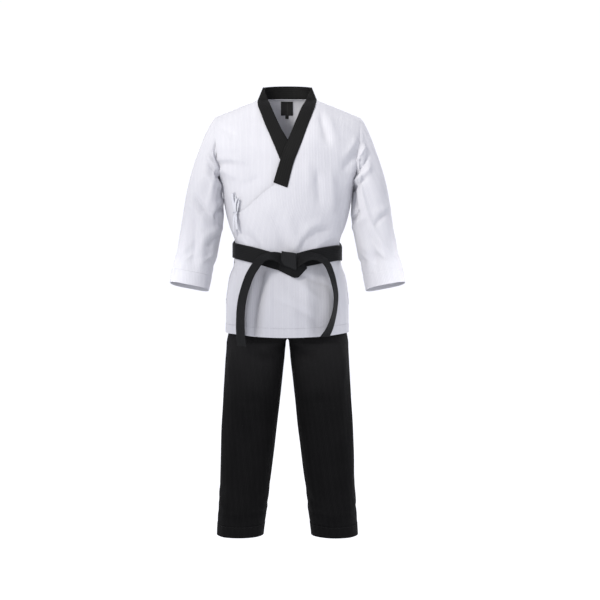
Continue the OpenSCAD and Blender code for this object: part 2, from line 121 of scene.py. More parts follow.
# Each table has a height and what holds there: half the jacket's width, and how deep it is on a side
HALF_WIDTHS = [(-745, 194), (-620, 194), (-545, 184), (-505, 166), (-485, 161), (-430, 161), (-416, 169),
               (-394, 178), (-344, 191), (-262, 205), (-205, 231), (-150, 250), (100, 250)]
DEPTHS = {
    FRONT: [(-745, 149), (-620, 139), (-545, 126), (-435, 120), (-380, 127), (-300, 130), (-200, 127),
            (100, 126)],
    BACK: [(-745, 143), (-600, 134), (-530, 108), (-435, 100), (-350, 104), (-250, 113), (-150, 110),
           (100, 105)],
}
WAIST_DEPTHS = {side: np.interp(-WAIST_DROP, *zip(*DEPTHS[side])) for side in DEPTHS}


def shoulder_z(x):
    return -SHOULDER_DROP * np.maximum(0, np.abs(x) - NECK_HALF) / (SHOULDER_HALF - NECK_HALF)


def rounding(u):
    return (1 - (1 - np.clip(u, 0, 1)) ** 1.6) ** (1 / 1.6)


def neck_arc(x):
    return np.sqrt(np.clip(1 - (x / NECK_HALF) ** 2, 0, 1))


def waist_y(x, side):
    return side * WAIST_DEPTHS[side] * np.sqrt(np.clip(1 - (x / WAIST_HALF) ** 2, 0, 1))


def slope_share(z):
    """How much of the belt's slope the cloth has at a height."""
    return np.clip((200 - np.abs(z + WAIST_DROP)) / 140, 0, 1)


def row_z(level, x, side):
    return level + BELT_TILT * waist_y(x, side) * np.where(level < -WAIST_DROP, 1, slope_share(level))


def depth(x, z, side):
    """How far the jacket stands in front of or behind the middle, at a place seen from the front."""
    level = z - BELT_TILT * waist_y(x, side) * slope_share(z)
    half = lookup(level, HALF_WIDTHS)
    full = lookup(level, DEPTHS[side]) * np.sqrt(np.clip(1 - (x / half) ** 2, 0, 1))
    nape = neck_arc(x) * (side == BACK)
    below_top = shoulder_z(x) + NAPE_RISE * nape - z
    over = rounding(below_top / mix(200, 120, np.minimum(1, np.abs(x) / SHOULDER_HALF)))
    return mix(np.minimum(NAPE_DEPTH * nape, full), full, over)


def on_jacket(x, z, side):
    return np.stack([x + 0 * z, side * depth(x, z, side), z + 0 * x], axis=-1)


def armhole_x(z):
    return mix(SHOULDER_HALF, ARMPIT_HALF, (-SHOULDER_DROP - z) / (ARMPIT_DROP - SHOULDER_DROP))


def edge_x(z):
    return np.where(z > -ARMPIT_DROP, armhole_x(z), lookup(z, HALF_WIDTHS))


# ---------------------------------------------------------------- folds

def from_line(points, x, z):
    """The distance of places from a line, signed for its side, and the share of the line they are at."""
    p = np.array(points, float)
    lengths = np.linalg.norm(np.diff(p, axis=0), axis=1)
    nearest = np.full(np.shape(x), np.inf)
    signed, share = np.zeros(np.shape(x)), np.zeros(np.shape(x))
    done = 0
    for (ax, az), (bx, bz), length in zip(p, p[1:], lengths):
        dx, dz = (bx - ax) / length, (bz - az) / length
        t = np.clip((x - ax) * dx + (z - az) * dz, 0, length)
        ox, oz = x - ax - t * dx, z - az - t * dz
        away = np.hypot(ox, oz)
        closer = away < nearest
        nearest = np.where(closer, away, nearest)
        signed = np.where(closer, away * np.sign(dx * oz - dz * ox), signed)
        share = np.where(closer, (done + t) / lengths.sum(), share)
        done += length
    return signed, share


def fold(points, x, z, width, height, lean=0.0, ends=(0, 0)):
    """A ridge, or a dent if height is below 0. It fades towards an end of 0. A lean steepens one flank."""
    away, share = from_line(points, x, z)
    fade = mix(ends[0], 1, ease(share * 3)) * mix(ends[1], 1, ease((1 - share) * 3))
    return height * fade * np.exp(-(away / width) ** 2) * (1 + lean * np.tanh(3 * away / width))


def waves(grid, size, height, seed):
    """Smooth, irregular unevenness of about a size."""
    flat = grid.reshape(-1, 3)
    place = [Vector((x / size + seed, y / size, z / size / 2.2)) for x, y, z in flat]
    return height * np.array([noise.noise(p) for p in place]).reshape(grid.shape[:-1])


FOLD_STRENGTH = 1.6

# Folds of the jacket's body as seen from the front: points (x, z), width, height, lean and ends. One without
# a lean or ends is even and fades at both ends.
CHEST_FOLDS = [
    ([(-203, -190), (-171, -191), (-137, -196), (-112, -214)], 11, 3.0, -0.5, (1, 0)),
    ([(-204, -205), (-180, -208), (-150, -218)], 9, -2.2, 0.2, (1, 0)),
    ([(-203, -226), (-176, -240), (-150, -262)], 12, 2.4, 0.4, (1, 0)),
    ([(-201, -98), (-180, -112), (-150, -128)], 13, -2.2, 0.3, (0.6, 0)),
    ([(-186, -130), (-170, -160), (-150, -178)], 14, 2.0, 0, (0.2, 0)),
    ([(-150, -282), (-110, -270), (-74, -254)], 14, -2.0, 0.3),
    ([(-176, -300), (-150, -330), (-128, -338)], 11, 2.2, 0, (0.5, 0)),
    ([(90, -36), (106, -100), (124, -170)], 14, -3.2, 0.4, (0.2, 0)),
    ([(118, -50), (136, -112), (150, -176)], 15, 2.6, 0, (0.2, 0)),
    ([(94, -222), (99, -285), (104, -352)], 13, -3.4, -0.4),
    ([(124, -214), (132, -290), (134, -372)], 16, 3.0, 0.3),
    ([(60, -190), (66, -250), (64, -318)], 16, 2.0),
    ([(206, -140), (186, -176), (164, -192)], 11, 2.8, -0.4, (1, 0)),
    ([(203, -168), (184, -206), (158, -232)], 10, -2.8, 0.3, (1, 0)),
    ([(202, -200), (186, -238), (172, -290)], 13, 2.6, 0.3, (1, 0)),
    ([(172, -300), (160, -340), (140, -366)], 12, -2.2, 0, (0.3, 0)),
    ([(40, -470), (56, -440), (84, -420), (150, -402)], 9, -3.6, 0.5, (1, 0)),
    ([(30, -472), (44, -440), (70, -404), (126, -372)], 13, 3.6, 0.2, (1, 0)),
    ([(70, -474), (96, -448), (140, -428), (162, -420)], 9, 3.2, -0.3, (1, 0.4)),
    ([(-6, -474), (-12, -430), (-30, -388), (-56, -350)], 14, -2.6, 0.2, (1, 0)),
    ([(18, -476), (18, -436), (8, -390), (-4, -340)], 15, 2.6, 0, (1, 0)),
    ([(-60, -466), (-72, -436), (-96, -406), (-128, -384)], 11, 2.8, 0.3, (1, 0)),
    ([(-88, -462), (-108, -436), (-138, -418)], 9, -2.8, 0, (1, 0.3)),
    ([(-118, -450), (-134, -432), (-158, -424)], 8, 2.4, 0, (1, 0.5)),
    ([(118, -452), (134, -438), (158, -434)], 8, -2.2, 0, (1, 0.4)),
]

# Folds of the back as seen from the front, through the body: from the armholes, and up from the belt
BACK_FOLDS = [
    ([(s * x, z) for x, z in points], *shape) for points, *shape in (
        ([(202, -150), (170, -178), (130, -186)], 13, 3.0, 0.3, (1, 0)),
        ([(202, -186), (176, -222), (150, -240)], 11, -2.8, 0, (1, 0)),
        ([(196, -262), (160, -300), (128, -366)], 13, 2.8, 0.2, (0.4, 0)),
    ) for s in (-1, 1)
] + [
    ([(x, -462), (x * 0.94, -420), (x * 0.86 + 6, -366), (x * 0.8 + 10, -300)], 12, h, 0.3, (1, 0))
    for x, h in ((-132, 3.2), (-104, -3.0), (-74, 3.6), (-42, -3.2), (-14, 3.4), (18, -2.8), (48, 3.2),
                 (80, -3.2), (108, 3.4), (136, -2.4))
] + [
    ([(-80, -120), (-30, -150), (40, -146), (92, -116)], 24, 2.0),
]

SKIRT_FOLDS = [
    ([(-62, -500), (-72, -560), (-86, -620), (-93, -672), (-95, -740)], 14, -6.5, -0.6, (1, 0.6)),
    ([(-96, -500), (-104, -570), (-116, -640), (-120, -740)], 15, 4.5, 0.2, (1, 1)),
    ([(-44, -520), (-52, -590), (-60, -660), (-66, -740)], 17, 4.0, -0.2, (0.6, 0.7)),
    ([(-136, -490), (-150, -570), (-156, -660), (-160, -740)], 13, -3.0, 0.2, (1, 0.8)),
    ([(-30, -545), (-10, -590), (-12, -650)], 15, 2.4, 0, (0.4, 0)),
    ([(40, -545), (80, -562), (124, -576), (168, -592)], 12, -3.0, 0.4, (0.8, 0)),
    ([(28, -560), (62, -596), (118, -628)], 17, 2.8, 0.2, (0.4, 0)),
    ([(-60, -610), (4, -634), (58, -662), (98, -694)], 15, -2.6, 0.3),
    ([(112, -520), (126, -580), (130, -650), (134, -740)], 14, 3.2, 0.3, (1, 0.7)),
    ([(84, -560), (92, -620), (90, -690), (92, -740)], 14, -2.8, 0, (0, 0.8)),
    ([(160, -500), (172, -570), (176, -650), (176, -740)], 12, -3.4, -0.2, (1, 0.8)),
    ([(16, -600), (24, -660), (26, -740)], 18, 2.6, 0, (0, 0.8)),
]

SKIRT_BACK_FOLDS = [
    ([(x, -470), (x * 1.1, -540), (x * 1.22, -640), (x * 1.26, -745)], w, h, 0.25, (1, 0.8))
    for x, w, h in ((-128, 13, 3.6), (-98, 12, -4.2), (-66, 14, 4.2), (-36, 12, -4.4), (-4, 15, 4.0),
                    (32, 12, -4.0), (62, 14, 4.2), (94, 12, -4.2), (126, 13, 3.4))
]

# Folds of the sleeves as seen from the front. Each sleeve has its own.
SLEEVE_FOLDS = {
    RIGHT: [
        ([(-210, -120), (-222, -168), (-207, -206), (-188, -246)], 6, -3.4, 0.4, (0.2, 0.6)),
        ([(-248, -164), (-222, -204), (-190, -246)], 7, 4.2, -0.5, (0, 1)),
        ([(-256, -186), (-228, -226), (-192, -258)], 7, -4.0, 0.4, (0, 1)),
        ([(-262, -212), (-232, -248), (-196, -272)], 8, 3.6, -0.3, (0, 1)),
        ([(-214, -186), (-202, -214), (-190, -240)], 5, 3.4, 0.2, (0, 1)),
        ([(-292, -276), (-284, -306), (-258, -344), (-226, -372)], 9, -4.6, 0.6),
        ([(-300, -290), (-296, -330), (-268, -366), (-240, -392)], 11, 3.6, 0.2),
        ([(-226, -368), (-212, -352), (-198, -336)], 7, -4.0, 0.3, (0, 1)),
        ([(-236, -350), (-216, -328), (-200, -312)], 9, 3.2, 0, (0, 1)),
        ([(-250, -452), (-232, -438), (-214, -420)], 7, -3.6, 0.4, (0, 1)),
        ([(-262, -436), (-240, -412), (-214, -396)], 10, 3.0, 0, (0, 1)),
        ([(-296, -316), (-290, -400), (-290, -470), (-288, -520)], 13, -3.4, 0.4, (0, 0.3)),
        ([(-268, -380), (-262, -440), (-262, -520)], 13, 2.8, 0, (0, 0.4)),
        ([(-318, -380), (-322, -450), (-328, -520)], 12, 2.8, 0, (0, 0.4)),
    ],
    LEFT: [
        ([(244, -138), (228, -176), (208, -208)], 8, 4.2, -0.4, (0, 1)),
        ([(256, -164), (238, -202), (212, -232)], 7, -4.2, 0.4, (0, 1)),
        ([(266, -196), (244, -232), (206, -256)], 9, 3.8, -0.3, (0, 1)),
        ([(252, -236), (226, -262), (198, -276)], 7, -3.2, 0, (0, 1)),
        ([(194, -262), (200, -310), (204, -350)], 9, -4.2, 0.3, (1, 0)),
        ([(190, -376), (206, -360), (224, -340)], 7, -4.6, 0.5, (1, 0)),
        ([(196, -398), (222, -376), (250, -356)], 10, 3.6, 0, (1, 0)),
        ([(304, -350), (286, -368), (266, -392)], 7, -4.0, 0.5, (0.6, 0)),
        ([(310, -330), (288, -342), (262, -352)], 10, 3.2, 0, (0.8, 0)),
        ([(250, -400), (262, -460), (268, -524)], 13, -3.2, 0.4, (0, 0.3)),
        ([(286, -410), (298, -470), (304, -524)], 13, 3.0, 0, (0, 0.4)),
        ([(318, -400), (330, -470), (334, -524)], 10, -2.6, 0, (0, 0.3)),
        ([(238, -440), (246, -480), (250, -524)], 10, 2.6, 0, (0, 0.4)),
    ],
}


def folded(x, z, folds):
    return FOLD_STRENGTH * sum(fold(points, x, z, *shape) for points, *shape in folds)


def belt_share(x, z, side):
    """0 under the belt and 1 away from it."""
    return 1 - np.exp(-(np.abs(z - row_z(np.array(-WAIST_DROP), x, side)) / 30) ** 4)


# ---------------------------------------------------------------- meshes

def normals(grid, closed=False):
    down = np.gradient(grid, axis=0)
    if closed:
        right = np.roll(grid, -1, axis=1) - np.roll(grid, 1, axis=1)
    else:
        right = np.gradient(grid, axis=1)
    return unit(np.cross(down, right))


def with_supports(grid, uv, closed):
    """Adds a row or column 1.2 mm from each open edge, so that the edge's rounding stays small."""
    def add(points, flat):
        first, last = (min(0.5, 1.2 / np.linalg.norm(points[a] - points[b], axis=-1).mean())
                       for a, b in ((0, 1), (-1, -2)))
        return [np.concatenate([g[:1], mix(g[:1], g[1:2], first), g[1:-1], mix(g[-1:], g[-2:-1], last),
                                g[-1:]]) for g in (points, flat)]
    grid, uv = add(grid, uv)
    if not closed:
        grid, uv = (g.swapaxes(0, 1) for g in add(grid.swapaxes(0, 1), uv.swapaxes(0, 1)))
    return grid, uv


def shell(grid, uv, thick, closed=False, groove=0):
    """A sheet of cloth with the grid as its outer face and rounded edges: its vertices, faces and UVs.

    Its points are the outer face, the inner face, and rims at the top, bottom, left and right."""
    if np.ndim(groove):
        stacked = np.concatenate([grid, np.asarray(groove)[..., None]], axis=-1)
        stacked, uv = with_supports(stacked, uv, closed)
        grid, groove = stacked[..., :3], stacked[..., 3:]
    else:
        grid, uv = with_supports(grid, uv, closed)
    n, m = grid.shape[:2]
    out = normals(grid, closed)
    outer, inner = grid - out * groove, grid - out * (thick - groove)
    centre = (outer + inner) / 2
    rims = [(centre[0], centre[1]), (centre[-1], centre[-2])]
    if not closed:
        rims += [(centre[:, 0], centre[:, 1]), (centre[:, -1], centre[:, -2])]
    rims = [edge + unit(edge - inside) * thick / 2 for edge, inside in rims]
    points = np.concatenate([outer.reshape(-1, 3), inner.reshape(-1, 3)] + rims)
    starts = 2 * n * m + np.r_[0, np.cumsum([len(r) for r in rims])]
    faces, corners = [], []

    def index(part, i, j):
        j %= m
        if part in "oi":
            return "oi".index(part) * n * m + i * m + j
        return starts["tblr".index(part)] + (j if part in "tb" else i)

    def face(*marks):
        faces.append([index(*mark) for mark in marks])
        corners.extend(uv[i, j] for _, i, j in marks)

    for j in range(m if closed else m - 1):
        for i in range(n - 1):
            face(("o", i, j), ("o", i + 1, j), ("o", i + 1, j + 1), ("o", i, j + 1))
            face(("i", i, j), ("i", i, j + 1), ("i", i + 1, j + 1), ("i", i + 1, j))
        for rim, i in (("t", 0), ("b", n - 1)):
            turn = 1 if rim == "t" else -1
            face(*(("o", i, j), ("o", i, j + 1), (rim, i, j + 1), (rim, i, j))[::turn])
            face(*((rim, i, j), (rim, i, j + 1), ("i", i, j + 1), ("i", i, j))[::turn])
    if not closed:
        for rim, j, turn in (("l", 0, 1), ("r", m - 1, -1)):
            for i in range(n - 1):
                face(*(("o", i + 1, j), ("o", i, j), (rim, i, j), (rim, i + 1, j))[::turn])
                face(*((rim, i + 1, j), (rim, i, j), ("i", i, j), ("i", i + 1, j))[::turn])
            for end, i, flip in (("t", 0, -1), ("b", n - 1, 1)):
                face(*(("o", i, j), (rim, i, j), (end, i, j))[::flip * turn])
                face(*(("i", i, j), (end, i, j), (rim, i, j))[::flip * turn])
    return points, faces, np.array(corners)


def seam_line(grid, edge, inset):
    """The line on a grid along an edge and a distance in from it, and the way out of the cloth there."""
    g, way = {"top": (grid, 1), "bottom": (grid[::-1], -1), "left": (grid.swapaxes(0, 1), -1)}[edge]
    line = np.array([[np.interp(inset, distances(column), values) for values in column.T]
                     for column in g.swapaxes(0, 1)])
    inward = unit(g[min(3, len(g) - 1)] - g[0])
    out = unit(np.cross(inward, np.gradient(line, axis=0))) * way
    return line, out


def stitches(line, out, pitch=3.4, length=2.4, wide=0.34):
    """A row of raised stitches along a line: vertices, faces and UVs."""
    far = distances(line)
    middles = np.arange(pitch, far[-1] - pitch / 2, pitch)
    at = lambda s, values: np.stack([np.interp(s, far, values[:, axis]) for axis in range(3)], axis=1)
    centre, up = at(middles, line), unit(at(middles, out))
    ahead = unit(at(middles + 1, line) - at(middles - 1, line))
    across = np.cross(ahead, up)
    corners = [centre - ahead * length / 2 - up * 0.1, centre + across * wide, centre + up * wide,
               centre - across * wide, centre - up * wide, centre + ahead * length / 2 - up * 0.1]
    points = np.stack(corners, axis=1).reshape(-1, 3)
    sides = [(0, 1, 2), (0, 2, 3), (0, 3, 4), (0, 4, 1), (5, 2, 1), (5, 3, 2), (5, 4, 3), (5, 1, 4)]
    faces = [[6 * k + v for v in side] for k in range(len(middles)) for side in sides]
    return points, faces, np.zeros((3 * len(faces), 2))


def add_object(name, data):
    made = bpy.data.objects.new(name, data)
    bpy.context.scene.collection.objects.link(made)
    return made


def build(name, parts, materials):
    """One object from parts of vertices, faces and UVs, each with its material."""
    mesh = bpy.data.meshes.new(name)
    points, faces, corners, which = [], [], [], []
    for index, (vertices, part_faces, uv) in enumerate(parts):
        start = sum(len(p) for p in points)
        points.append(vertices)
        faces += [[start + v for v in f] for f in part_faces]
        corners.append(uv)
        which += [index] * len(part_faces)
    mesh.from_pydata(np.concatenate(points) * MM, [], faces)
    layer = mesh.uv_layers.new(name="UVMap")
    layer.data.foreach_set("uv", np.concatenate(corners).astype(np.float32).ravel())
    used = list(dict.fromkeys(materials))
    for material in used:
        mesh.materials.append(material)
    mesh.polygons.foreach_set("material_index", [used.index(materials[i]) for i in which])
    mesh.polygons.foreach_set("use_smooth", [True] * len(faces))
    mesh.update()
    return add_object(name, mesh)


def arc_uv(grid, closed=False):
    """UVs in metres: how far right and how far down each point of a grid lies."""
    if closed:
        grid = np.concatenate([grid, grid[:, :1]], axis=1)
    right = np.linalg.norm(np.diff(grid, axis=1), axis=2)
    across = np.concatenate([np.zeros((len(grid), 1)), np.cumsum(right, axis=1)], axis=1)
    down = np.concatenate([[0], np.cumsum(np.linalg.norm(np.diff(grid, axis=0), axis=2).mean(axis=1))])
    return np.stack([across * MM, -down[:, None] * MM + 0 * across], axis=-1)


def sizes(grid, closed=False):
    """The flat size of the cloth that a grid stands for: its width and length and its area, in metres."""
    if closed:
        grid = np.concatenate([grid, grid[:, :1]], axis=1)
    across = np.linalg.norm(np.diff(grid, axis=1), axis=2).sum(axis=1).max() * MM
    down = np.linalg.norm(np.diff(grid, axis=0), axis=2).sum(axis=0).max() * MM
    sides = np.cross(grid[1:, 1:] - grid[:-1, :-1], grid[1:, :-1] - grid[:-1, 1:])
    area = np.linalg.norm(sides, axis=2).sum() / 2 * MM * MM
    return (round(across, 3), round(down, 3)), min(area, 0.999 * round(across, 3) * round(down, 3))


# ---------------------------------------------------------------- cloth simulation

SETTLING_FRAMES = 17
KEPT_OUT_BY_BODY = 0.6
FADING_ROWS = 8


def settled(grid, held, closed=False, slack=0.012, most=5.0):
    """The grid after it has settled as cloth that is a little larger than its place, by the share slack.

    held is 1 where seams and bands hold the cloth still. No point moves further than most, and the wearer's
    body keeps the cloth from going in as far as it goes out."""
    n, m = grid.shape[:2]
    mesh = bpy.data.meshes.new("settling")
    faces = [(i * m + j, (i + 1) * m + j, (i + 1) * m + (j + 1) % m, i * m + (j + 1) % m)
             for i in range(n - 1) for j in range(m if closed else m - 1)]
    mesh.from_pydata(grid.reshape(-1, 3) * MM, [], faces)
    piece = add_object("settling", mesh)
    group = piece.vertex_groups.new(name="held")
    for index in np.flatnonzero(held.ravel() > 0):
        group.add([int(index)], float(held.ravel()[index]), "REPLACE")
    modifier = piece.modifiers.new("cloth", "CLOTH")
    modifier.collision_settings.use_collision = False
    modifier.point_cache.frame_start, modifier.point_cache.frame_end = 1, SETTLING_FRAMES
    settings = modifier.settings
    settings.vertex_group_mass = "held"
    settings.quality, settings.mass, settings.air_damping = 5, 0.3, 1.5
    settings.tension_stiffness, settings.compression_stiffness, settings.shear_stiffness = 20, 20, 8
    settings.bending_stiffness, settings.bending_damping = 4.0, 1.0
    settings.shrink_min = settings.shrink_max = -slack
    settings.effector_weights.gravity = 0.25
    scene = bpy.context.scene
    for step in range(1, SETTLING_FRAMES + 1):
        scene.frame_set(step)
    done = piece.evaluated_get(bpy.context.evaluated_depsgraph_get()).data
    place = np.empty(3 * n * m)
    done.vertices.foreach_get("co", place)
    bpy.data.meshes.remove(mesh)
    scene.frame_set(1)
    move = place.reshape(grid.shape) / MM - grid
    out = normals(grid, closed)
    outwards = (move * out).sum(axis=-1, keepdims=True)
    move = (move - KEPT_OUT_BY_BODY * np.minimum(0, outwards) * out) * (1 - held[..., None])
    far = np.maximum(np.linalg.norm(move, axis=-1, keepdims=True), 1e-6)
    return grid + move * most * np.tanh(far / most) / far


def held_at(grid, top=0, bottom=0, left=0, right=0):
    """1 on so many rows or columns at each side of a grid. The rows fade to 0 over the next few."""
    held = np.zeros(grid.shape[:2])
    row = np.arange(len(held))[:, None]
    if top:
        held = np.maximum(held, ease(1 - (row - top + 1) / FADING_ROWS))
    if bottom:
        held = np.maximum(held, ease(1 - (len(held) - bottom - row) / FADING_ROWS))
    held[:, :left] = 1
    held[:, held.shape[1] - right:] = 1
    return held


# ---------------------------------------------------------------- materials

class Graph:
    """A material's node graph, with short ways to add to it."""

    def __init__(self, name):
        self.material = bpy.data.materials.new(name)
        self.material.use_nodes = True
        self.tree = self.material.node_tree
        self.shader = self.tree.nodes["Principled BSDF"]
        place = self.node("ShaderNodeUVMap").outputs[0]
        split = self.node("ShaderNodeSeparateXYZ", Vector=place)
        self.u, self.v = split.outputs[0], split.outputs[1]
        self.place = self.node("ShaderNodeTexCoord").outputs["Object"]

    def node(self, kind, settings=None, **inputs):
        made = self.tree.nodes.new(kind)
        for key, value in (settings or {}).items():
            setattr(made, key, value)
        for key, value in inputs.items():
            self.put(made, key.replace("_", " "), value)
        return made

    def put(self, node, key, value):
        socket = node.inputs[key]
        if isinstance(value, bpy.types.NodeSocket):
            self.tree.links.new(value, socket)
        else:
            socket.default_value = value

    def sum(self, operation, a, b=0.0, c=0.0):
        made = self.tree.nodes.new("ShaderNodeMath")
        made.operation = operation
        for index, value in enumerate((a, b, c)):
            self.put(made, index, value)
        return made.outputs[0]

    def ridges(self, along, pitch):
        """Even ridges, from 0 to 1, at a pitch in metres."""
        wave = self.sum("SINE", self.sum("MULTIPLY", along, 2 * math.pi / pitch))
        return self.sum("MULTIPLY_ADD", wave, 0.5, 0.5)

    def lines(self, along, pitch, share):
        """Thin lines at a pitch in metres: 1 on a line and 0 off it."""
        phase = self.sum("PINGPONG", along, pitch / 2)
        away = self.node("ShaderNodeMapRange", Value=phase, From_Max=pitch * share).outputs[0]
        return self.sum("SUBTRACT", 1, away)

    def noise(self, scale, detail=2.0, place=None):
        made = self.node("ShaderNodeTexNoise", Vector=place or self.place, Scale=scale, Detail=detail)
        return made.outputs["Fac"]

    def blend(self, share, a, b):
        """The colour a where share is 0 and b where it is 1."""
        made = self.node("ShaderNodeMix", {"data_type": "RGBA"})
        self.put(made, 0, share)
        self.put(made, 6, a)
        self.put(made, 7, b)
        return made.outputs[2]

    def bump(self, height, distance, strength=1.0, under=None):
        made = self.node("ShaderNodeBump", Height=height, Distance=distance, Strength=strength)
        if under is not None:
            self.put(made, "Normal", under)
        return made.outputs[0]

    def finish(self, colour, rough, normal, sheen=0.0, sheen_tint=(1, 1, 1, 1), shine=0.25):
        self.put(self.shader, "Base Color", colour)
        self.put(self.shader, "Roughness", rough)
        self.put(self.shader, "Normal", normal)
        self.put(self.shader, "Sheen Weight", sheen)
        self.put(self.shader, "Sheen Roughness", 0.45)
        self.put(self.shader, "Sheen Tint", sheen_tint)
        self.put(self.shader, "Specular IOR Level", shine)
        return self.material


def grey(value, blue=1.0):
    return (value, value * mix(1, blue, 0.3), value * blue, 1)


def times(share, colour):
    return tuple(share * c for c in colour[:3]) + (1,)


def ribbed_cloth(name, light, dark, rib_pitch, rib_height, sheen, shine=0.2, painted_light_to=0.0):
    """Plain-woven polycotton with faint lengthwise ribs, painted lighter from its top down to the length
    given last: painted light.
    """
    g = Graph(name)
    thread = 0.0006
    group = g.ridges(g.u, 4 * rib_pitch)
    rib = g.sum("MULTIPLY", g.ridges(g.u, rib_pitch), g.sum("MULTIPLY_ADD", group, 0.6, 0.4))
    weave = g.sum("MULTIPLY", g.ridges(g.u, thread), g.ridges(g.v, thread))
    lengthwise = g.node("ShaderNodeMapping", Vector=g.node("ShaderNodeUVMap").outputs[0], Scale=(1, 0.06, 1))
    slub = g.noise(900, 1, lengthwise.outputs[0])
    patchy = g.noise(14, 3)
    fine = g.sum("MULTIPLY_ADD", rib, 0.55, g.sum("MULTIPLY", slub, 0.45))
    tone = g.sum("MULTIPLY_ADD", patchy, 0.4, g.sum("MULTIPLY", fine, 0.6))
    normal = g.bump(rib, rib_height)
    normal = g.bump(weave, 0.00012, 0.5, normal)
    normal = g.bump(slub, 0.00015, 0.6, normal)
    rough = g.sum("MULTIPLY_ADD", weave, -0.12, 0.86)
    colour = g.blend(tone, dark, light)
    # Painted light: the colour is lighter at the top of the piece and fades to the plain cloth over the
    # given length.
    if painted_light_to:
        painted_lightening = g.node("ShaderNodeMapRange", {"interpolation_type": "SMOOTHSTEP"},
                      Value=g.sum("ABSOLUTE", g.v), From_Max=painted_light_to, To_Min=0.3, To_Max=0.0)
        colour = g.blend(painted_lightening.outputs[0], colour, times(2.4, light))
    return g.finish(colour, rough, normal, sheen, light, shine)


def drill(name, light, dark, thread_colour, row_pitch):
    """Stout twill with parallel rows of stitching along its length. U runs across and V along."""
    g = Graph(name)
    twill = g.ridges(g.sum("ADD", g.u, g.v), 0.0011)
    row = g.lines(g.u, row_pitch, 0.09)
    dash = g.sum("LESS_THAN", g.sum("PINGPONG", g.v, 0.0016), 0.00115)
    thread = g.sum("MULTIPLY", row, dash)
    patchy = g.noise(30, 3)
    cloth = g.blend(g.sum("MULTIPLY_ADD", patchy, 0.5, g.sum("MULTIPLY", twill, 0.5)), dark, light)
    colour = g.blend(g.sum("MULTIPLY", thread, 0.8), cloth, thread_colour)
    normal = g.bump(twill, 0.00012, 0.6)
    normal = g.bump(thread, 0.00035, 0.7, normal)
    rough = g.sum("MULTIPLY_ADD", thread, -0.15, 0.62)
    return g.finish(colour, rough, normal, 0.0, light, 0.09)


def thread_material(name, colour):
    g = Graph(name)
    twist = g.ridges(g.noise(500), 0.1)
    return g.finish(g.blend(twist, times(0.8, colour), colour), 0.55, g.bump(twist, 0.0001))


def satin_label(name):
    """A blank woven label with a slightly lighter border."""
    g = Graph(name)
    satin = g.ridges(g.v, 0.0005)
    border = g.lines(g.sum("ADD", g.u, 0.0012), 0.018, 0.05)
    colour = g.blend(border, g.blend(satin, grey(0.012), grey(0.022)), grey(0.05))
    return g.finish(colour, 0.42, g.bump(satin, 0.0001, 0.6))


def webbing(name):
    g = Graph(name)
    ribs = g.ridges(g.v, 0.0028)
    threads = g.ridges(g.u, 0.0009)
    colour = g.blend(ribs, (0.55, 0.53, 0.48, 1), (0.78, 0.76, 0.7, 1))
    return g.finish(colour, 0.8, g.bump(threads, 0.0001, 0.6, g.bump(ribs, 0.0006)), 0.1)


RIB = 0.0046
WHITE = ribbed_cloth("white ribbed cloth", (0.615, 0.616, 0.645, 1), (0.475, 0.477, 0.520, 1), RIB, 0.0003,
                     0.03)
TAPE = ribbed_cloth("white tape", (0.66, 0.67, 0.71, 1), (0.48, 0.49, 0.54, 1), 0.0018, 0.0002, 0.05)
# The thigh and seat copies are painted lighter from their tops down, over 0.2 m and 3 m: painted light.
# Below the knee is unpainted.
TROUSER, THIGH, SEAT = (
    ribbed_cloth(f"black ribbed cloth {part}", (0.0122, 0.0119, 0.0122, 1), (0.0026, 0.0026, 0.0028, 1), RIB,
                 0.0004, 0.0, 0.035, painted_light_to)
    for part, painted_light_to in (("below the knee", 0), ("on the thigh", 0.2), ("on the seat", 3)))
COLLAR = drill("black collar drill", grey(0.0082), grey(0.0038), grey(0.019), 0.0066)
BELT = drill("black belt drill", grey(0.0088, 1.1), grey(0.004, 1.1), grey(0.02, 1.05), 0.0053)
# A lighter copy of the belt drill for the knot's front plate: a painted highlight where light falls on it.
KNOT_PAINTED_HIGHLIGHT = drill("black belt drill, painted highlight on the knot", grey(0.017, 1.1), grey(0.008, 1.1), grey(0.032, 1.05),
             0.0053)
WHITE_THREAD = thread_material("white thread", (0.68, 0.69, 0.73, 1))
BLACK_THREAD = thread_material("black thread", (0.03, 0.03, 0.032, 1))
LABEL = satin_label("black satin label")
ELASTIC = webbing("woven elastic")


# ---------------------------------------------------------------- pieces of cloth

def cloth(name, grid, flat_grid, material, slot, nodes, closed=False, thick=CLOTH, threads=(), held="hung",
          rests_on=(), uv=None, groove=0, thread=WHITE_THREAD):
    """A piece of cloth. flat_grid is the same cloth without its folds, which gives the size it was cut to.

    threads are the lines of its stitches, and thread is what they are sewn with."""
    uv = arc_uv(flat_grid, closed) if uv is None else uv
    parts = [shell(grid, uv, thick, closed, groove)] + [stitches(*line) for line in threads]
    piece = build(name, parts, [material] + [thread] * len(threads))
    flat, area = sizes(flat_grid, closed)
    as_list(rests_on)
    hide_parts(*nodes)
    return piece


# ---------------------------------------------------------------- jacket body

ARM_STEPS = 40
arm_angles = np.radians(np.linspace(90, -90, ARM_STEPS + 1))
arm_levels = mix(-ARMPIT_DROP, -SHOULDER_DROP, (1 + np.sin(arm_angles)) / 2)
PANEL_END = -WAIST_DROP - 8
LEVEL_ROWS_DROP = 145
WRAP_START = -ARMPIT_DROP
side_levels = np.r_[arm_levels, np.arange(-ARMPIT_DROP - 7, PANEL_END, -7), PANEL_END]
free_levels = np.interp(-side_levels, [53, 58.8, 76, 104.8, 145, 200, 262, 310, 355, 396, 600],
                        [0, 14, 42, 90, 150, 215, 266, 300, 352, 396, 600]) * -1

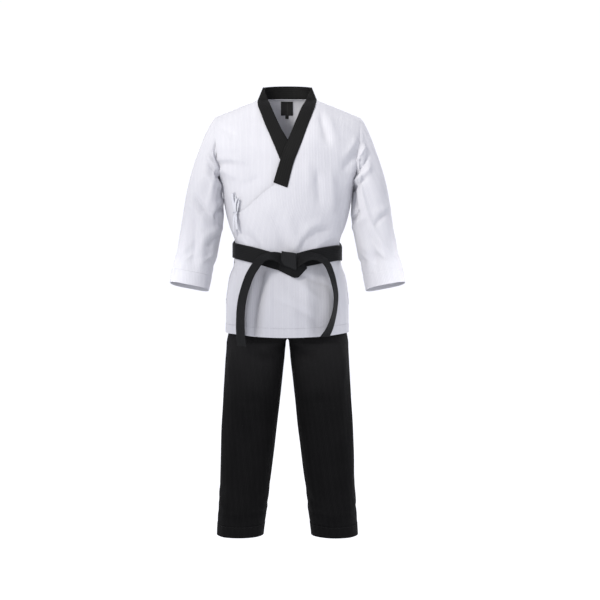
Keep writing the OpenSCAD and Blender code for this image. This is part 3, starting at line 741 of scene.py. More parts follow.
# The free edges of the front panels as seen from the front, from below the belt to the neck
OVER_EDGE = [(-150, -620), (-147, -434), (-158, -384), (-146, -347), (-119, -327), (-62, -286), (-28, -266),
             (6, -217), (60, -66), (93, 0)]
UNDER_EDGE = [(140, -620), (140, -360), (-6, -205), (-58, -79), (-93, 0)]


def free_ends(edge):
    curve = spline(edge, 300)
    return np.stack([np.interp(free_levels, curve[:, 1], curve[:, 0]), free_levels], axis=1)


def side_ends(hand):
    return np.stack([hand * edge_x(side_levels), side_levels], axis=1)


def front_grid(left, right, columns):
    s = (1 - np.cos(math.pi * np.linspace(0, 1, columns))) / 2
    p = mix(left[:, None], right[:, None], s[None, :, None])
    return on_jacket(p[..., 0], row_z(p[..., 1], p[..., 0], FRONT), FRONT)


def back_grid(levels, columns=91):
    """The back panel. Its rows follow the shoulders at the top and are level from LEVEL_ROWS_DROP down."""
    s = np.sin(math.pi / 2 * np.linspace(1, -1, columns))
    s = mix(np.linspace(1, -1, columns), s, 0.6)
    x = s[None] * edge_x(levels)[:, None]
    reach = np.clip((-SHOULDER_DROP - levels) / (LEVEL_ROWS_DROP - SHOULDER_DROP), 0, 1)[:, None]
    top = shoulder_z(x) + NAPE_RISE * neck_arc(x)
    z = np.where(reach < 1, mix(top, -LEVEL_ROWS_DROP, reach), row_z(levels[:, None], x, BACK))
    return on_jacket(x, z, BACK)


def jacket_relief(grid, side):
    """How far folds and unevenness move the jacket's cloth in or out."""
    x, z = grid[..., 0], grid[..., 2]
    near_side = ease(np.abs(grid[..., 1]) / 30)
    lines = folded(x, z, CHEST_FOLDS if side == FRONT else BACK_FOLDS)
    skirts = folded(x, z, SKIRT_FOLDS if side == FRONT else SKIRT_BACK_FOLDS)
    uneven = waves(grid, 95, 3.2, 0) + waves(grid, 36, 1.0, 7)
    from_seam = ease((shoulder_z(x) + NAPE_RISE * neck_arc(x) * (side == BACK) - z) / 25)
    return ((lines + skirts) * near_side + uneven) * belt_share(x, z, side) * from_seam


def moved(grid, out, closed=False):
    return grid + normals(grid, closed) * np.asarray(out)[..., None]


def jacket_cloth(grid, side, out=0):
    return moved(grid, jacket_relief(grid, side) + out)


def under_in(grid):
    """The under panel sinks away from the side seam, to lie beneath the over panel."""
    x, z = grid[..., 0], grid[..., 2]
    return -9 * ease((x + 196) / 120) * ease((shoulder_z(x) - z) / 70)


def edge_uv(grid, column):
    """UVs in metres whose zero is the wearer's middle line. column is the grid's column nearest to it."""
    uv = arc_uv(grid)
    uv[..., 0] += (grid[:, column, 0] * MM - uv[:, column, 0])[:, None]
    return uv


# The cloth round the neck label is held this far to each side and down
NAPE_HELD = 75


def jacket_panels():
    left, right = side_ends(LEFT), side_ends(RIGHT)
    over = front_grid(free_ends(OVER_EDGE), left, 75)
    under = front_grid(right, free_ends(UNDER_EDGE), 75)
    back = back_grid(side_levels)
    back_held = held_at(back, 1, 6, 1, 1)
    back_held[(back[..., 2] > -NAPE_HELD) & (np.abs(back[..., 0]) < NAPE_HELD)] = 1
    over_folded = jacket_cloth(over, FRONT)
    wrap_row = int(np.argmin(np.abs(free_levels - WRAP_START)))
    under_folded = jacket_cloth(under, FRONT, under_in(under))
    back_folded = jacket_cloth(settled(back, back_held), BACK)
    wrap_edge = seam_line(over_folded[wrap_row:], "left", 6)
    for name, grid, flat, node, column, threads in (
            ("front_panel_over", over_folded, over, "front_over", 0, [wrap_edge]),
            ("front_panel_under", under_folded, under, "front_under", -1, []),
            ("back_panel_cloth", back_folded, back, "back_panel", 45, [])):
        panel = cloth(name, grid, flat, WHITE, "white_cloth", [node], uv=edge_uv(flat, column),
                      rests_on=["neck_collar", "belt_outer_wrap"], threads=threads)
        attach(panel, "jacket")


# ---------------------------------------------------------------- sleeves

SLOPE = math.radians(11)
DOWN_ARM = np.array([math.sin(SLOPE), 0, -math.cos(SLOPE)])
ACROSS_ARM = np.array([math.cos(SLOPE), 0, math.sin(SLOPE)])
ELBOW_AT = np.array([258, 0, -340])
ARM_BELOW_ELBOW, CUFF_WIDTH = 233, 40
BAND_RAISED = 0.9
ring_angles = np.radians(np.linspace(-90, 270, 2 * ARM_STEPS, endpoint=False))


def arm_ring(centre, across, half, deep):
    a = ring_angles[:, None]
    return centre + half * np.sin(a) * across - np.array([0, deep, 0]) * np.cos(a)


def armhole_ring():
    z = mix(-ARMPIT_DROP, -SHOULDER_DROP, (1 + np.sin(ring_angles)) / 2)
    x = armhole_x(z)
    y = np.where(np.cos(ring_angles) >= 0, -depth(x, z, FRONT), depth(x, z, BACK))
    return np.stack([x, y * (np.abs(np.cos(ring_angles)) > 0.01), z], axis=1)


def elbow_ring(along):
    share = along / ARM_BELOW_ELBOW
    ring = arm_ring(ELBOW_AT + DOWN_ARM * along, ACROSS_ARM, mix(64, 60, share), mix(58, 45, share))
    longer_behind = 13 * share ** 3 * ease(0.5 - 0.5 * np.cos(ring_angles))
    return ring + longer_behind[:, None] * DOWN_ARM


def upper_sleeve():
    top, end = armhole_ring(), elbow_ring(0)
    bend = arm_ring(np.array([243.5, 0, -219.5]), np.array([0.449, 0, 0.893]), 101, 70)
    t = np.linspace(0, 1, 44)[:, None, None]
    return (1 - t) ** 2 * top + 2 * t * (1 - t) * bend + t * t * end


def lower_sleeve(start, end, rows):
    return np.stack([elbow_ring(along) for along in np.linspace(start, end, rows)])


def sleeve_relief(grid, hand):
    x, z = grid[..., 0], grid[..., 2]
    front = ease(-grid[..., 1] / 22 + 0.25)
    back = ease(grid[..., 1] / 22 - 0.2)
    own, other = folded(x, z, SLEEVE_FOLDS[hand]), folded(-x, z, SLEEVE_FOLDS[-hand])
    uneven = waves(grid, 70, 2.4, 3) + waves(grid, 30, 0.8, 11)
    return own * front + other * back + uneven


def sleeves():
    upper = upper_sleeve()
    lower = lower_sleeve(0, ARM_BELOW_ELBOW - CUFF_WIDTH, 34)
    cuff = lower_sleeve(ARM_BELOW_ELBOW - CUFF_WIDTH, ARM_BELOW_ELBOW, 9)
    whole = np.concatenate([upper, lower[1:], cuff[1:]])
    elbow_row, cuff_row = len(upper) - 1, len(upper) + len(lower) - 2
    rows = {"sleeve_upper": slice(0, elbow_row + 1), "sleeve_lower": slice(elbow_row, cuff_row + 1),
            "cuff": slice(cuff_row, len(whole))}
    for hand, word in ((LEFT, "left"), (RIGHT, "right")):
        smooth = whole if hand == LEFT else mirrored(whole)
        soft = settled(smooth, held_at(smooth, 1, 8), closed=True, slack=0.02, most=7)
        soft = moved(soft, sleeve_relief(smooth, hand), closed=True)
        for part, places in rows.items():
            grid = moved(soft[places], BAND_RAISED * (part == "cuff"), closed=True)
            threads = [seam_line(grid, "top", 3)] if part == "cuff" else []
            piece = cloth(f"{part}_cloth_{word}", grid, smooth[places], WHITE, "white_cloth",
                          [f"{part}_{word}"], closed=True, threads=threads, rests_on=["back_panel_cloth"])
            if part == "sleeve_upper":
                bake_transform(piece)
            elif part == "sleeve_lower":
                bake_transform(piece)
            else:
                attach(piece, f"forearm_{word}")


# ---------------------------------------------------------------- collar

# The collar's sewn and free edges in front as seen from the front, from the neck down
OVER_SEWN = [(92, 2), (88, -12), (84, -30), (72, -66), (63, -92), (54, -119), (36, -169), (18, -217),
             (1, -285)]
OVER_FREE = [(77, 44), (69, 24), (60, 4), (43, -36), (32, -68), (19, -104), (-3, -164), (-20, -212),
             (-38, -270)]
UNDER_SEWN = [(-92, 2), (-91, -10), (-87, -28), (-74, -64), (-64, -92), (-52, -120), (-38, -154),
              (-17, -205), (4, -250)]
UNDER_FREE = [(-77, 44), (-69, 22), (-60, 2), (-44, -44), (-34, -68), (-18, -105), (1, -140), (22, -180),
              (42, -225)]
COLLAR_THICK = 3.2
COLLAR_ROWS = 6


def lapel(sewn, free, out_top, out_low, count=80, columns=25):
    sewn, free = spline(sewn, count), spline(free, count)
    p = mix(sewn[:, None], free[:, None], np.linspace(0, 1, columns)[None, :, None])
    x, z = p[..., 0], p[..., 1]
    out = mix(out_top, out_low, ease(-z / 90)) * ease((44 - z) / 60)
    return np.stack([x, -(np.maximum(3, depth(x, z, FRONT)) + out), z], axis=-1)


def collar_grid():
    over = lapel(OVER_SEWN, OVER_FREE, 5, 4.4)[::-1]
    under = lapel(UNDER_SEWN, UNDER_FREE, 5, -4.6)
    a = np.radians(np.linspace(8, 172, 56))
    low, high = (np.stack([(NECK_HALF + wider) * np.cos(a), (NAPE_DEPTH + deeper) * np.sin(a) + 1,
                           NAPE_RISE * np.sin(a) + up], axis=1)
                 for wider, deeper, up in ((1, 3, 2), (-15, -3, COLLAR_WIDTH - 2)))
    nape = mix(low[:, None], high[:, None], np.linspace(0, 1, 25)[None, :, None])
    grid = np.concatenate([over, nape, under])
    for _ in range(5):
        grid[1:-1] = (grid[:-2] + 2 * grid[1:-1] + grid[2:]) / 4
    return grid


def channels(uv, rows, width, deep):
    """Grooves along a strap where its rows of stitching pull it in."""
    pitch = width * MM / rows
    from_row = np.abs((uv[..., 0] / pitch) % 1 - 0.5)
    return deep * np.exp(-((0.5 - from_row) / 0.09) ** 2)


def collar():
    grid = collar_grid()
    uv = arc_uv(grid)
    groove = channels(uv, COLLAR_ROWS, COLLAR_WIDTH, 0.35)
    piece = cloth("neck_collar", grid, grid, COLLAR, "black_collar",
                  ["collar_back", "collar_over", "collar_under"], thick=COLLAR_THICK, uv=uv, groove=groove,
                  held="folded", rests_on=["back_panel_cloth"])
    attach(piece, "jacket")


def labels():
    def inside(x0, x1, z0, z1, name, node):
        x, z = np.meshgrid(np.linspace(x1, x0, 12), np.linspace(z1, z0, 14))
        grid = moved(on_jacket(x, z, BACK), -CLOTH - 0.9)
        piece = cloth(name, grid, grid, LABEL, "label", [node], thick=0.5, held="stretched",
                      rests_on=["back_panel_cloth"])
        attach(piece, "jacket")
    inside(-22, 16, -27, 14, "label_at_neck", "neck_label")
    inside(-8, 2.2, -37, -26.6, "label_for_size", "size_tab")


# ---------------------------------------------------------------- skirts of the jacket

def skirt_grid(share_from, share_to, side, top, bottom, rows, columns, in_by=0.0):
    """A skirt between two shares of its half width, from top to bottom. Its hem rises at the sides."""
    v = np.linspace(0, 1, rows)[:, None]
    s = np.linspace(math.asin(share_from), math.asin(share_to), columns)[None]
    x = lookup(mix(top, bottom, v), HALF_WIDTHS) * np.sin(s) * (-side)
    hem_rise = 13 * (x / SKIRT_HALF) ** 2
    z_top = row_z(np.array(float(top)), x, side) if top > -WAIST_DROP - 10 else top + hem_rise
    z = mix(z_top, bottom + hem_rise, v)
    return moved(on_jacket(x, z, side), -in_by)


SKIRT_HEM = 26
HEM_RAISED = 0.8


def skirts():
    """Each skirt is made as one cloth down to its edge, and its hem is cut from the foot of it."""
    top = -WAIST_DROP + 4
    layers = [("skirt_over", FRONT, -0.995, 1, 0, ["skirt_front_over"], ["skirt_front_hem"]),
              ("skirt_under", FRONT, -0.985, 0.8, 5, ["skirt_front_under"], None),
              ("skirt_rear", BACK, -1, 1, 0, ["skirt_back"], ["skirt_back_hem"])]
    for name, side, start, end, in_by, nodes, hem_nodes in layers:
        low = -HEM_DROP if hem_nodes else -HEM_DROP + 5
        cloth_rows = skirt_grid(start, end, side, top, low + SKIRT_HEM, 44, 95)
        hem_rows = skirt_grid(start, end, side, low + SKIRT_HEM, low, 7, 95)
        smooth = np.concatenate([cloth_rows, hem_rows[1:]])
        soft = jacket_cloth(settled(smooth, held_at(smooth, 4), slack=0.01), side, -in_by)
        cut = len(cloth_rows) if hem_nodes else len(smooth)
        pieces = [(f"{name}_cloth", soft[:cut], smooth[:cut], nodes)]
        if hem_nodes:
            pieces.append((f"{name}_hem", moved(soft[cut - 1:], HEM_RAISED), smooth[cut - 1:], hem_nodes))
        for piece_name, grid, flat, replaced in pieces:
            threads = [seam_line(grid, "top", 3)] if "hem" in piece_name else []
            piece = cloth(piece_name, grid, flat, WHITE, "white_cloth", replaced, threads=threads,
                          uv=edge_uv(flat, 47), rests_on=["belt_outer_wrap"])
            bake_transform(piece)


# ---------------------------------------------------------------- belt

KNOT_DIP = 7
BELT_ROWS = 8


def belt_point(angle, out, up):
    """A point of the belt at an angle from the front, out from the jacket and up from the belt's middle.

    Between the knot and the sides the belt is drawn up, so from the front it makes a shallow V. It sits a
    little lower on the wearer's left."""
    a = np.asarray(angle, float)
    in_front = -45 + 39 * np.abs(np.sin(a)) ** 1.35 + 46 * np.cos(a) - KNOT_DIP * np.exp(-(a / 0.32) ** 2)
    behind = -6 * ease(1 + np.cos(a) / 0.7)
    drawn_up = np.where(np.cos(a) > 0, in_front, behind) - 8 * np.maximum(0, np.sin(a)) ** 3
    deep = np.where(np.cos(a) > 0, WAIST_DEPTHS[FRONT], WAIST_DEPTHS[BACK])
    y = -(deep + out) * np.cos(a)
    z = -WAIST_DROP + BELT_TILT * y + drawn_up + up
    return np.stack([(WAIST_HALF + out) * np.sin(a), y, z], axis=-1)


def belt_piece(name, grid, nodes, uv=None, closed=False, held="folded"):
    uv = arc_uv(grid) if uv is None else uv
    groove = channels(uv[:, :grid.shape[1]], BELT_ROWS, BELT_WIDTH, 0.3)
    return cloth(name, grid, grid, BELT, "black_belt", nodes, thick=BELT_THICK, uv=uv, closed=closed,
                 groove=groove, held=held, rests_on=["back_panel_cloth"])


def belt_wraps():
    angles = np.radians(np.linspace(-180, 180, 150, endpoint=False))
    for name, node, out, shift in (("belt_inner_turn", "belt_inner_wrap", 3, 1.0),
                                   ("belt_outer_turn", "belt_outer_wrap", 6.2, 0)):
        ups = np.linspace(0.5, -0.5, 41) * BELT_WIDTH
        slack = 1.2 * np.sin(3 * angles + 1) + 0.7 * np.sin(7 * angles)
        grid = np.stack([belt_point(angles, out + BELT_THICK, up + shift + 0.6 * slack) for up in ups])
        grid = moved(grid, 0.25 * slack[None], closed=True)
        uv = arc_uv(grid, closed=True)
        uv = np.stack([(ups[0] - ups)[:, None] * MM + 0 * uv[..., 0], uv[..., 0]], axis=-1)
        piece = belt_piece(name, grid, [node], uv, closed=True, held="stretched")
        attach(piece, "jacket")


# The tails, from the knot: the strap's middle, the way from its front to its back edge, and its width
TAILS = {
    LEFT: [((30, -138, -503), (0, 0.2, 1), 34), ((50, -144, -493), (0.1, 0.62, 0.78), 38),
           ((76, -145, -488), (0.2, 0.8, 0.5), 40), ((102, -141, -495), (0.35, 0.85, 0.35), 42),
           ((121, -136, -513), (0.42, 0.88, 0.18), 43), ((132, -131, -538), (0.42, 0.9, 0.06), 43),
           ((139, -128, -562), (0.4, 0.92, 0), 43), ((146, -127, -600), (0.34, 0.94, 0), 43),
           ((144, -130, -640), (0.31, 0.95, 0), 43), ((137, -134, -672), (0.37, 0.93, 0), 43),
           ((126, -141, -702), (0.5, 0.87, 0), 43), ((113, -148, -724), (0.64, 0.77, 0), 43)],
    RIGHT: [((-6, -138, -500), (0, 0.2, 1), 34), ((-27, -144, -491), (-0.1, 0.62, 0.78), 38),
            ((-50, -148, -488), (-0.2, 0.8, 0.5), 40), ((-76, -147, -498), (-0.45, 0.8, 0.35), 42),
            ((-96, -144, -523), (-0.6, 0.77, 0.18), 43), ((-112, -141, -552), (-0.64, 0.77, 0.04), 43),
            ((-128, -139, -600), (-0.62, 0.78, 0), 43), ((-135, -140, -640), (-0.6, 0.8, 0), 43),
            ((-137, -141, -680), (-0.6, 0.8, 0), 43), ((-136, -145, -715), (-0.62, 0.78, 0), 43),
            ((-131, -151, -750), (-0.66, 0.75, 0), 43)],
}
TAIL_SPLIT = -566


def shares(stations):
    """The share of a line that each of its stations lies at."""
    far = distances(stations[:, :3])
    return far / far[-1]


def belt_tails():
    for hand, word in ((LEFT, "left"), (RIGHT, "right")):
        stations = np.array([[*middle, *unit(np.array(across, float)), width]
                             for middle, across, width in TAILS[hand]])
        line = spline(stations[:, :3], 140)
        at = np.linspace(0, 1, 140)
        own = shares(stations)
        across = unit(np.stack([np.interp(at, own, stations[:, k]) for k in (3, 4, 5)], axis=1))
        for _ in range(12):
            across[1:-1] = (across[:-2] + across[1:-1] * 2 + across[2:]) / 4
        width = np.interp(at, own, stations[:, 6])[:, None]
        steps = np.linspace(-0.5, 0.5, 33)[None, :, None] * hand
        grid = line[:, None] + steps * width[:, None] * unit(across)[:, None]
        split = int(np.argmin(np.abs(line[:, 2] - TAIL_SPLIT) + 1000 * (at < 0.3)))
        upper = belt_piece(f"belt_arch_{word}", grid[:split + 1],
                           [f"belt_wing_{word}", f"belt_tail_{word}_upper"])
        lower = belt_piece(f"belt_end_{word}", grid[split:], [f"belt_tail_{word}_lower"], held="hung")
        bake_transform(upper)
        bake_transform(lower)


PLATE_EDGE = 3.0


def plate(outline, base, thick, tilt, turn):
    """A folded layer of the knot: an outline seen from the front, tilted and with round edges.

    base is how far out its back is, and turn is the way its weave runs."""
    ring = spline(outline + outline[:1], 91)[:-1]
    sharp = evenly(np.array(outline + outline[:1], float), 91)[:-1]
    ring = mix(ring, sharp, 0.75)
    centre = ring.mean(axis=0)
    reach = np.linalg.norm(ring - centre, axis=1, keepdims=True)
    rows, heights = [], []
    for inset in (0, 0.3, 1.0, 2.0, 3.2, 6, 11, 18):
        rows.append(centre + (ring - centre) * np.maximum(0.02, 1 - inset / reach))
        from_edge = min(1, inset / PLATE_EDGE)
        heights.append(np.full(len(ring), thick * math.sqrt(max(0, 1 - (1 - from_edge) ** 2))))
    flat, high = np.concatenate(rows), np.concatenate(heights)
    lift = base + high + (flat - centre) @ np.array(tilt)
    back = base - 4 + (rows[0] - centre) @ np.array(tilt)
    at_belt = belt_point(np.array(0.0), 0, 0)

    def place(xz, out):
        return np.stack([xz[:, 0], at_belt[1] - out, at_belt[2] + KNOT_DIP - 1 + xz[:, 1]], axis=1)

    points = np.concatenate([place(flat, lift), place(rows[0], back),
                             place(centre[None], np.array([lift[-1]])),
                             place(centre[None], np.array([back.mean()]))])
    count = len(ring)
    top, under, tip, tail = (len(rows) - 1) * count, len(rows) * count, len(points) - 2, len(points) - 1
    pairs = [(j, (j + 1) % count) for j in range(count)]
    faces = [[k + j, k + after, k + count + after, k + count + j]
             for k in range(0, top, count) for j, after in pairs]
    faces += [[under + j, under + after, after, j] for j, after in pairs]
    faces += [[top + j, top + after, tip] for j, after in pairs]
    faces += [[under + after, under + j, tail] for j, after in pairs]
    c, s = math.cos(turn), math.sin(turn)
    uv = points[:, [0, 2]] * MM
    uv = np.stack([uv[:, 0] * c + uv[:, 1] * s, -uv[:, 0] * s + uv[:, 1] * c], axis=1)
    return points, faces, np.array([uv[v] for f in faces for v in f])


def belt_knot():
    layers = [
        plate([(-22, 6), (-10, 16), (20, 0), (34, -22), (24, -50), (14, -47), (-27, -26)], 9, 6,
              (0.10, 0.16), 0.55),
        plate([(26, 17), (36, 16), (50, 1), (60, -21), (35, -49), (22, -50), (16, -20)], 10, 6,
              (-0.2, 0.12), -0.8),
        plate([(-15, 28), (27, 22), (30, 0), (29, -29), (8, -21), (-19, -10)], 17, 7, (0.04, 0.05), 0.08),
    ]
    # The front plate takes the lighter drill, a painted highlight.
    piece = build("belt_knot_folds", layers, [BELT, BELT, KNOT_PAINTED_HIGHLIGHT])
    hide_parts("belt_knot")
    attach(piece, "jacket")


# ---------------------------------------------------------------- ties

TAPE_WIDTH, TAPE_THICK = 10, 1.0


def tape_piece(name, lines, node):
    """Flat tapes along lines. Each point of a line is its place and the way its face is turned about Z."""
    parts, total = [], 0
    for points in lines:
        stations = np.array(points, float)
        line = spline(stations[:, :3], 40)
        turn = np.radians(np.interp(np.linspace(0, 1, 40), shares(stations), stations[:, 3]))
        across = np.stack([np.cos(turn), -np.sin(turn), 0 * turn], axis=1)
        grid = line[:, None] + np.linspace(-0.5, 0.5, 7)[None, :, None] * TAPE_WIDTH * across[:, None]
        parts.append(shell(grid, arc_uv(grid), TAPE_THICK))
        total += distances(line)[-1]
    piece = build(name, parts, [TAPE] * len(parts))
    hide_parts(node)
    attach(piece, "jacket")


TIE_AT = (-154, -358)
TIE_TURN = 50


def ties():
    x, z = TIE_AT
    y = -float(depth(np.array(x), np.array(z), FRONT)) - 8
    turn = math.radians(TIE_TURN)
    out = np.array([math.sin(-turn), -math.cos(turn), 0])
    right = np.array([math.cos(turn), -math.sin(turn), 0])

    def at(side, up, lift, twist=0):
        return (*(np.array([x, y, z]) + right * side + np.array([0, 0, up]) + out * lift), TIE_TURN + twist)

    def loop(lean, length, wide):
        tip = lean * length
        return [at(0, 0, 1), at(tip * 0.5 - wide, length * 0.5, 3), at(tip - 2, length - 4, 4),
                at(tip, length, 2), at(tip + 2, length - 4, 0), at(tip * 0.5 + wide, length * 0.5, 0),
                at(1, 0, 0)]

    bow = [loop(-0.14, 62, 3), loop(0.25, 44, 4),
           [at(-6, 3, 3), at(0, 4, 6), at(6, 2, 3), at(2, -4, 3), at(-5, -4, 2)]]
    tape_piece("side_tie_loops", bow, "side_tie_bow")
    ends = [[at(-1, 0, 2), at(-5, -16, 4, 6), at(-8, -40, 3, 14), at(-7, -56, 3, 20)],
            [at(1, 0, 2), at(5, -14, 3, -4), at(8, -32, 4, 4), at(10, -48, 2, 8)]]
    tape_piece("side_tie_tapes", ends, "side_tie_ends")
    inner = [[(128, -62, -342, 42), (128, -62, -356, 42), (130, -63, -386, 48), (128, -62, -408, 52)]]
    tape_piece("inner_tie_tape", inner, "inner_tie")


# ---------------------------------------------------------------- trousers

# Each table has a height and what holds there: a leg's middle, half its width and half its depth
LEG_MIDDLES = [(-1340, 146), (-1162, 130), (-989, 117), (-865, 106), (-747, 96)]
LEG_HALVES = [(-1340, 72), (-1162, 79), (-989, 86), (-865, 89), (-747, 92)]
LEG_DEPTHS = [(-1340, 80), (-1040, 90), (-865, 98), (-747, 105)]
WAIST_TOP, WAISTBAND_HEIGHT, WAISTBAND_HALF = -422, 40, 147
SEAT_TOP, CROTCH, KNEE, LEG_END, LEG_HEM = -462, -747, -985, -1340, 36
LEG_STEPS = 44
GATHERS, GATHER_HEIGHT = 52, 1.3


def leg_ring(z):
    a = np.linspace(0, 2 * math.pi, 2 * LEG_STEPS, endpoint=False)
    middle, half, deep = (lookup(z, t) for t in (LEG_MIDDLES, LEG_HALVES, LEG_DEPTHS))
    shorter_in_front = 8 * np.maximum(0, np.sin(a)) * ease((-1200 - z) / 140)
    return np.stack([middle - half * np.cos(a), -deep * np.sin(a), z + shorter_in_front], axis=1)


def seat_ring(z):
    """Half of the seat, from the body's middle in front, round the side, to its middle behind."""
    v = (z - SEAT_TOP) / (CROTCH - SEAT_TOP)
    s = np.linspace(0, math.pi, 2 * LEG_STEPS + 1)
    wide = mix(WAISTBAND_HALF, 181, v ** 1.5)
    deep = np.where(np.cos(s) > 0, mix(100, 112, ease(v)), mix(90, 120, ease(1.4 * v)))
    ring = np.stack([wide * np.sin(s), -deep * np.cos(s), z + 0 * s], axis=1)
    leg = leg_ring(np.array(float(CROTCH)))
    leg = np.concatenate([leg, leg[:1]])
    leg[:, 2] = z
    ring = mix(ring, leg, v ** 6)
    if v < 0.97:
        ring[[0, -1], 0] = 0
    return ring


# Folds of the wearer's left leg as seen from the front. The right leg has their mirror image.
TROUSER_FOLDS = [
    ([(20, -760), (56, -776), (96, -772)], 11, -4.0, 0.3, (1, 0)),
    ([(36, -784), (58, -800), (90, -812)], 13, 3.6),
    ([(150, -740), (166, -800), (170, -880)], 14, 3.0, 0.2),
    ([(50, -880), (88, -896), (122, -888)], 12, -2.8, 0.3),
    ([(66, -912), (104, -926), (150, -916)], 13, 3.0),
    ([(90, -948), (128, -940), (160, -952)], 10, -2.4),
    ([(150, -980), (152, -1080), (160, -1180)], 16, -3.0, 0.3),
    ([(116, -1020), (122, -1120), (134, -1240)], 17, 3.0),
    ([(84, -1080), (90, -1180), (102, -1290)], 14, -2.6, 0.2),
    ([(176, -1140), (184, -1230), (190, -1320)], 14, 2.8, 0, (0, 0.6)),
    ([(110, -1280), (140, -1292), (176, -1284)], 12, 2.2),
    ([(70, -840), (72, -900), (80, -980)], 16, 2.6),
]


def trouser_relief(grid, hand):
    x, y, z = grid[..., 0] * hand, grid[..., 1], grid[..., 2]
    lines = folded(x, z, TROUSER_FOLDS) * ease(-y / 25) + folded(x, z + 14, TROUSER_FOLDS) * ease(y / 25)
    gathers = np.cos(np.arctan2(grid[..., 0], -y) * GATHERS) * GATHER_HEIGHT * ease((z - SEAT_TOP + 40) / 38)
    uneven = waves(grid, 110, 4.0, 20 + hand) + waves(grid, 42, 1.1, 30)
    return (lines + uneven) * ease((SEAT_TOP - z) / 30) + gathers


def trousers():
    seat_levels = np.r_[np.arange(SEAT_TOP, -700, -8), np.linspace(-700, CROTCH, 10)]
    seat = np.stack([seat_ring(z) for z in seat_levels])
    thigh = [leg_ring(z) for z in np.arange(CROTCH, KNEE - 1, -7.0)]
    shin = [leg_ring(z) for z in np.linspace(KNEE, LEG_END + LEG_HEM, 46)]
    hem = [leg_ring(z) for z in np.linspace(LEG_END + LEG_HEM, LEG_END, 9)]
    leg = np.stack(thigh + shin[1:] + hem[1:])
    cuts = np.cumsum([0, len(thigh) - 1, len(shin) - 1, len(hem) - 1])
    for hand, word in ((LEFT, "left"), (RIGHT, "right")):
        turned = seat if hand == LEFT else mirrored(seat)
        whole = moved(turned, trouser_relief(turned, hand))
        halves = [slice(0, LEG_STEPS + 1), slice(LEG_STEPS, None)]
        names = ("front", "back") if hand == LEFT else ("back", "front")
        for part, columns in zip(names, halves):
            piece = cloth(f"seat_{part}_cloth_{word}", whole[:, columns], turned[:, columns], SEAT,
                          "black_trouser", [f"seat_{part}_{word}"], rests_on=["waistband_cloth"])
            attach(piece, "trousers")
        smooth = leg if hand == LEFT else mirrored(leg)
        soft = settled(smooth, held_at(smooth, 1, 8), closed=True, slack=0.008, most=3.5)
        soft = moved(soft, trouser_relief(smooth, hand), closed=True)
        for part, start, end in zip(("thigh", "shin", "leg_hem"), cuts, cuts[1:]):
            is_hem = part == "leg_hem"
            grid = moved(soft[start:end + 1], BAND_RAISED * is_hem, closed=True)
            nodes = [f"leg_hem_{word}"] if is_hem else [f"{part}_front_{word}", f"{part}_back_{word}"]
            piece = cloth(f"{part}_cloth_{word}", grid, smooth[start:end + 1],
                          THIGH if part == "thigh" else TROUSER, "black_trouser", nodes, closed=True,
                          threads=[seam_line(grid, "top", 3)] if is_hem else [], thread=BLACK_THREAD,
                          rests_on=["waistband_cloth"])
            if is_hem:
                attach(piece, f"shin_{word}")
            else:
                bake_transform(piece)


def waistband():
    a = np.radians(np.linspace(-180, 180, 240, endpoint=False))
    deep = np.where(np.cos(a) > 0, 100, 90)

    def ring(out, z):
        return np.stack([(WAISTBAND_HALF + out) * np.sin(a), -(deep + out) * np.cos(a), z + 0 * a], axis=1)

    levels = np.linspace(WAIST_TOP, WAIST_TOP - WAISTBAND_HEIGHT, 12)
    outer = np.stack([ring(GATHER_HEIGHT * np.cos(GATHERS * a + 3 * math.sin(z)), z) for z in levels])
    smooth = np.stack([ring(0, z) for z in levels])
    band = cloth("waistband_cloth", outer, smooth, SEAT, "black_trouser", ["waistband"], closed=True,
                 held="gathered", threads=[seam_line(outer, edge, 8) for edge in ("top", "bottom")],
                 thread=BLACK_THREAD)
    levels = np.linspace(WAIST_TOP - 2, WAIST_TOP - WAISTBAND_HEIGHT + 2, 10)
    inner = np.stack([ring(-2.4, z) for z in levels])
    elastic = cloth("waist_elastic_webbing", inner, inner, ELASTIC, "elastic", ["waist_elastic"],
                    closed=True, held="stretched")
    for piece in (band, elastic):
        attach(piece, "trousers")


# ---------------------------------------------------------------- stage, lights and camera

# The floor is low enough for the trousers to come off above it
FLOOR_Z = LEG_END * MM - 0.48
FLOOR_REACH = 8


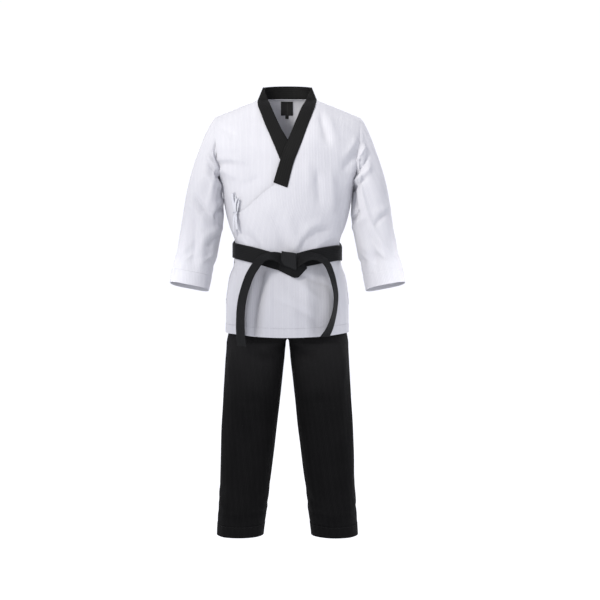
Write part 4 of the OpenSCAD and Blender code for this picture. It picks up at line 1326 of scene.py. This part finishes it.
def studio():
    world = bpy.data.worlds.new("white studio")
    bpy.context.scene.world = world
    world.use_nodes = True
    nodes, links = world.node_tree.nodes, world.node_tree.links
    nodes["Background"].inputs[0].default_value = (0.985, 0.992, 1.06, 1)
    direction = nodes.new("ShaderNodeSeparateXYZ")
    links.new(nodes.new("ShaderNodeTexCoord").outputs["Generated"], direction.inputs[0])
    strength = nodes.new("ShaderNodeMapRange")
    for key, value in (("From Min", 0.4), ("From Max", 0.75), ("To Min", 1.03), ("To Max", 0.62)):
        strength.inputs[key].default_value = value
    links.new(direction.outputs[2], strength.inputs["Value"])
    links.new(strength.outputs[0], nodes["Background"].inputs[1])

    mesh = bpy.data.meshes.new("floor")
    around = [(FLOOR_REACH * math.cos(t), FLOOR_REACH * math.sin(t), FLOOR_Z)
              for t in np.radians(np.arange(0, 360, 10))]
    mesh.from_pydata(around, [], [list(range(len(around)))])
    floor = add_object("floor", mesh)
    g = Graph("pale floor")
    speckle = g.noise(60, 3)
    pale = g.blend(speckle, (0.93, 0.93, 0.935, 1), (0.97, 0.97, 0.97, 1))
    g.finish(pale, 0.7, g.bump(speckle, 0.0003, 0.3))
    g.put(g.shader, "Emission Color", (1, 1, 1, 1))
    g.put(g.shader, "Emission Strength", 0.42)
    mesh.materials.append(g.material)

    def softbox(name, place, aim, size, power, colour, spread):
        light = bpy.data.lights.new(name, "AREA")
        light.size, light.energy, light.color = size, power, colour
        light.spread = math.radians(spread)
        made = add_object(name, light)
        made.location = place
        made.rotation_euler = (Vector(aim) - Vector(place)).to_track_quat("-Z", "Y").to_euler()

    softbox("key", (-1.9, -2.4, 1.5), (0.12, 0, 0.03), 1.0, 3.7, (1, 0.97, 0.91), 24)
    for hand in (LEFT, RIGHT):
        softbox("low side", (1.9 * hand, -2.0, 0.3), (0.42 * hand, 0, -0.56), 0.25, 0.2, (1, 0.985, 0.96), 7)
    softbox("from behind", (2.2, 2.3, 1.2), (0, 0, -0.2), 1.1, 3.0, (1, 0.985, 0.95), 36)


def camera():
    data = bpy.data.cameras.new("camera")
    data.lens, data.sensor_width = 50, 36
    made = add_object("camera", data)
    made.location = (0.039, -2.58, -0.617)
    made.rotation_euler = (math.pi / 2, 0, 0)
    bpy.context.scene.camera = made


bpy.context.scene.view_settings.view_transform = "Standard"
for make in (camera, studio, jacket_panels, sleeves, collar, labels, skirts, belt_wraps, belt_tails,
             belt_knot, ties, trousers, waistband):
    make()
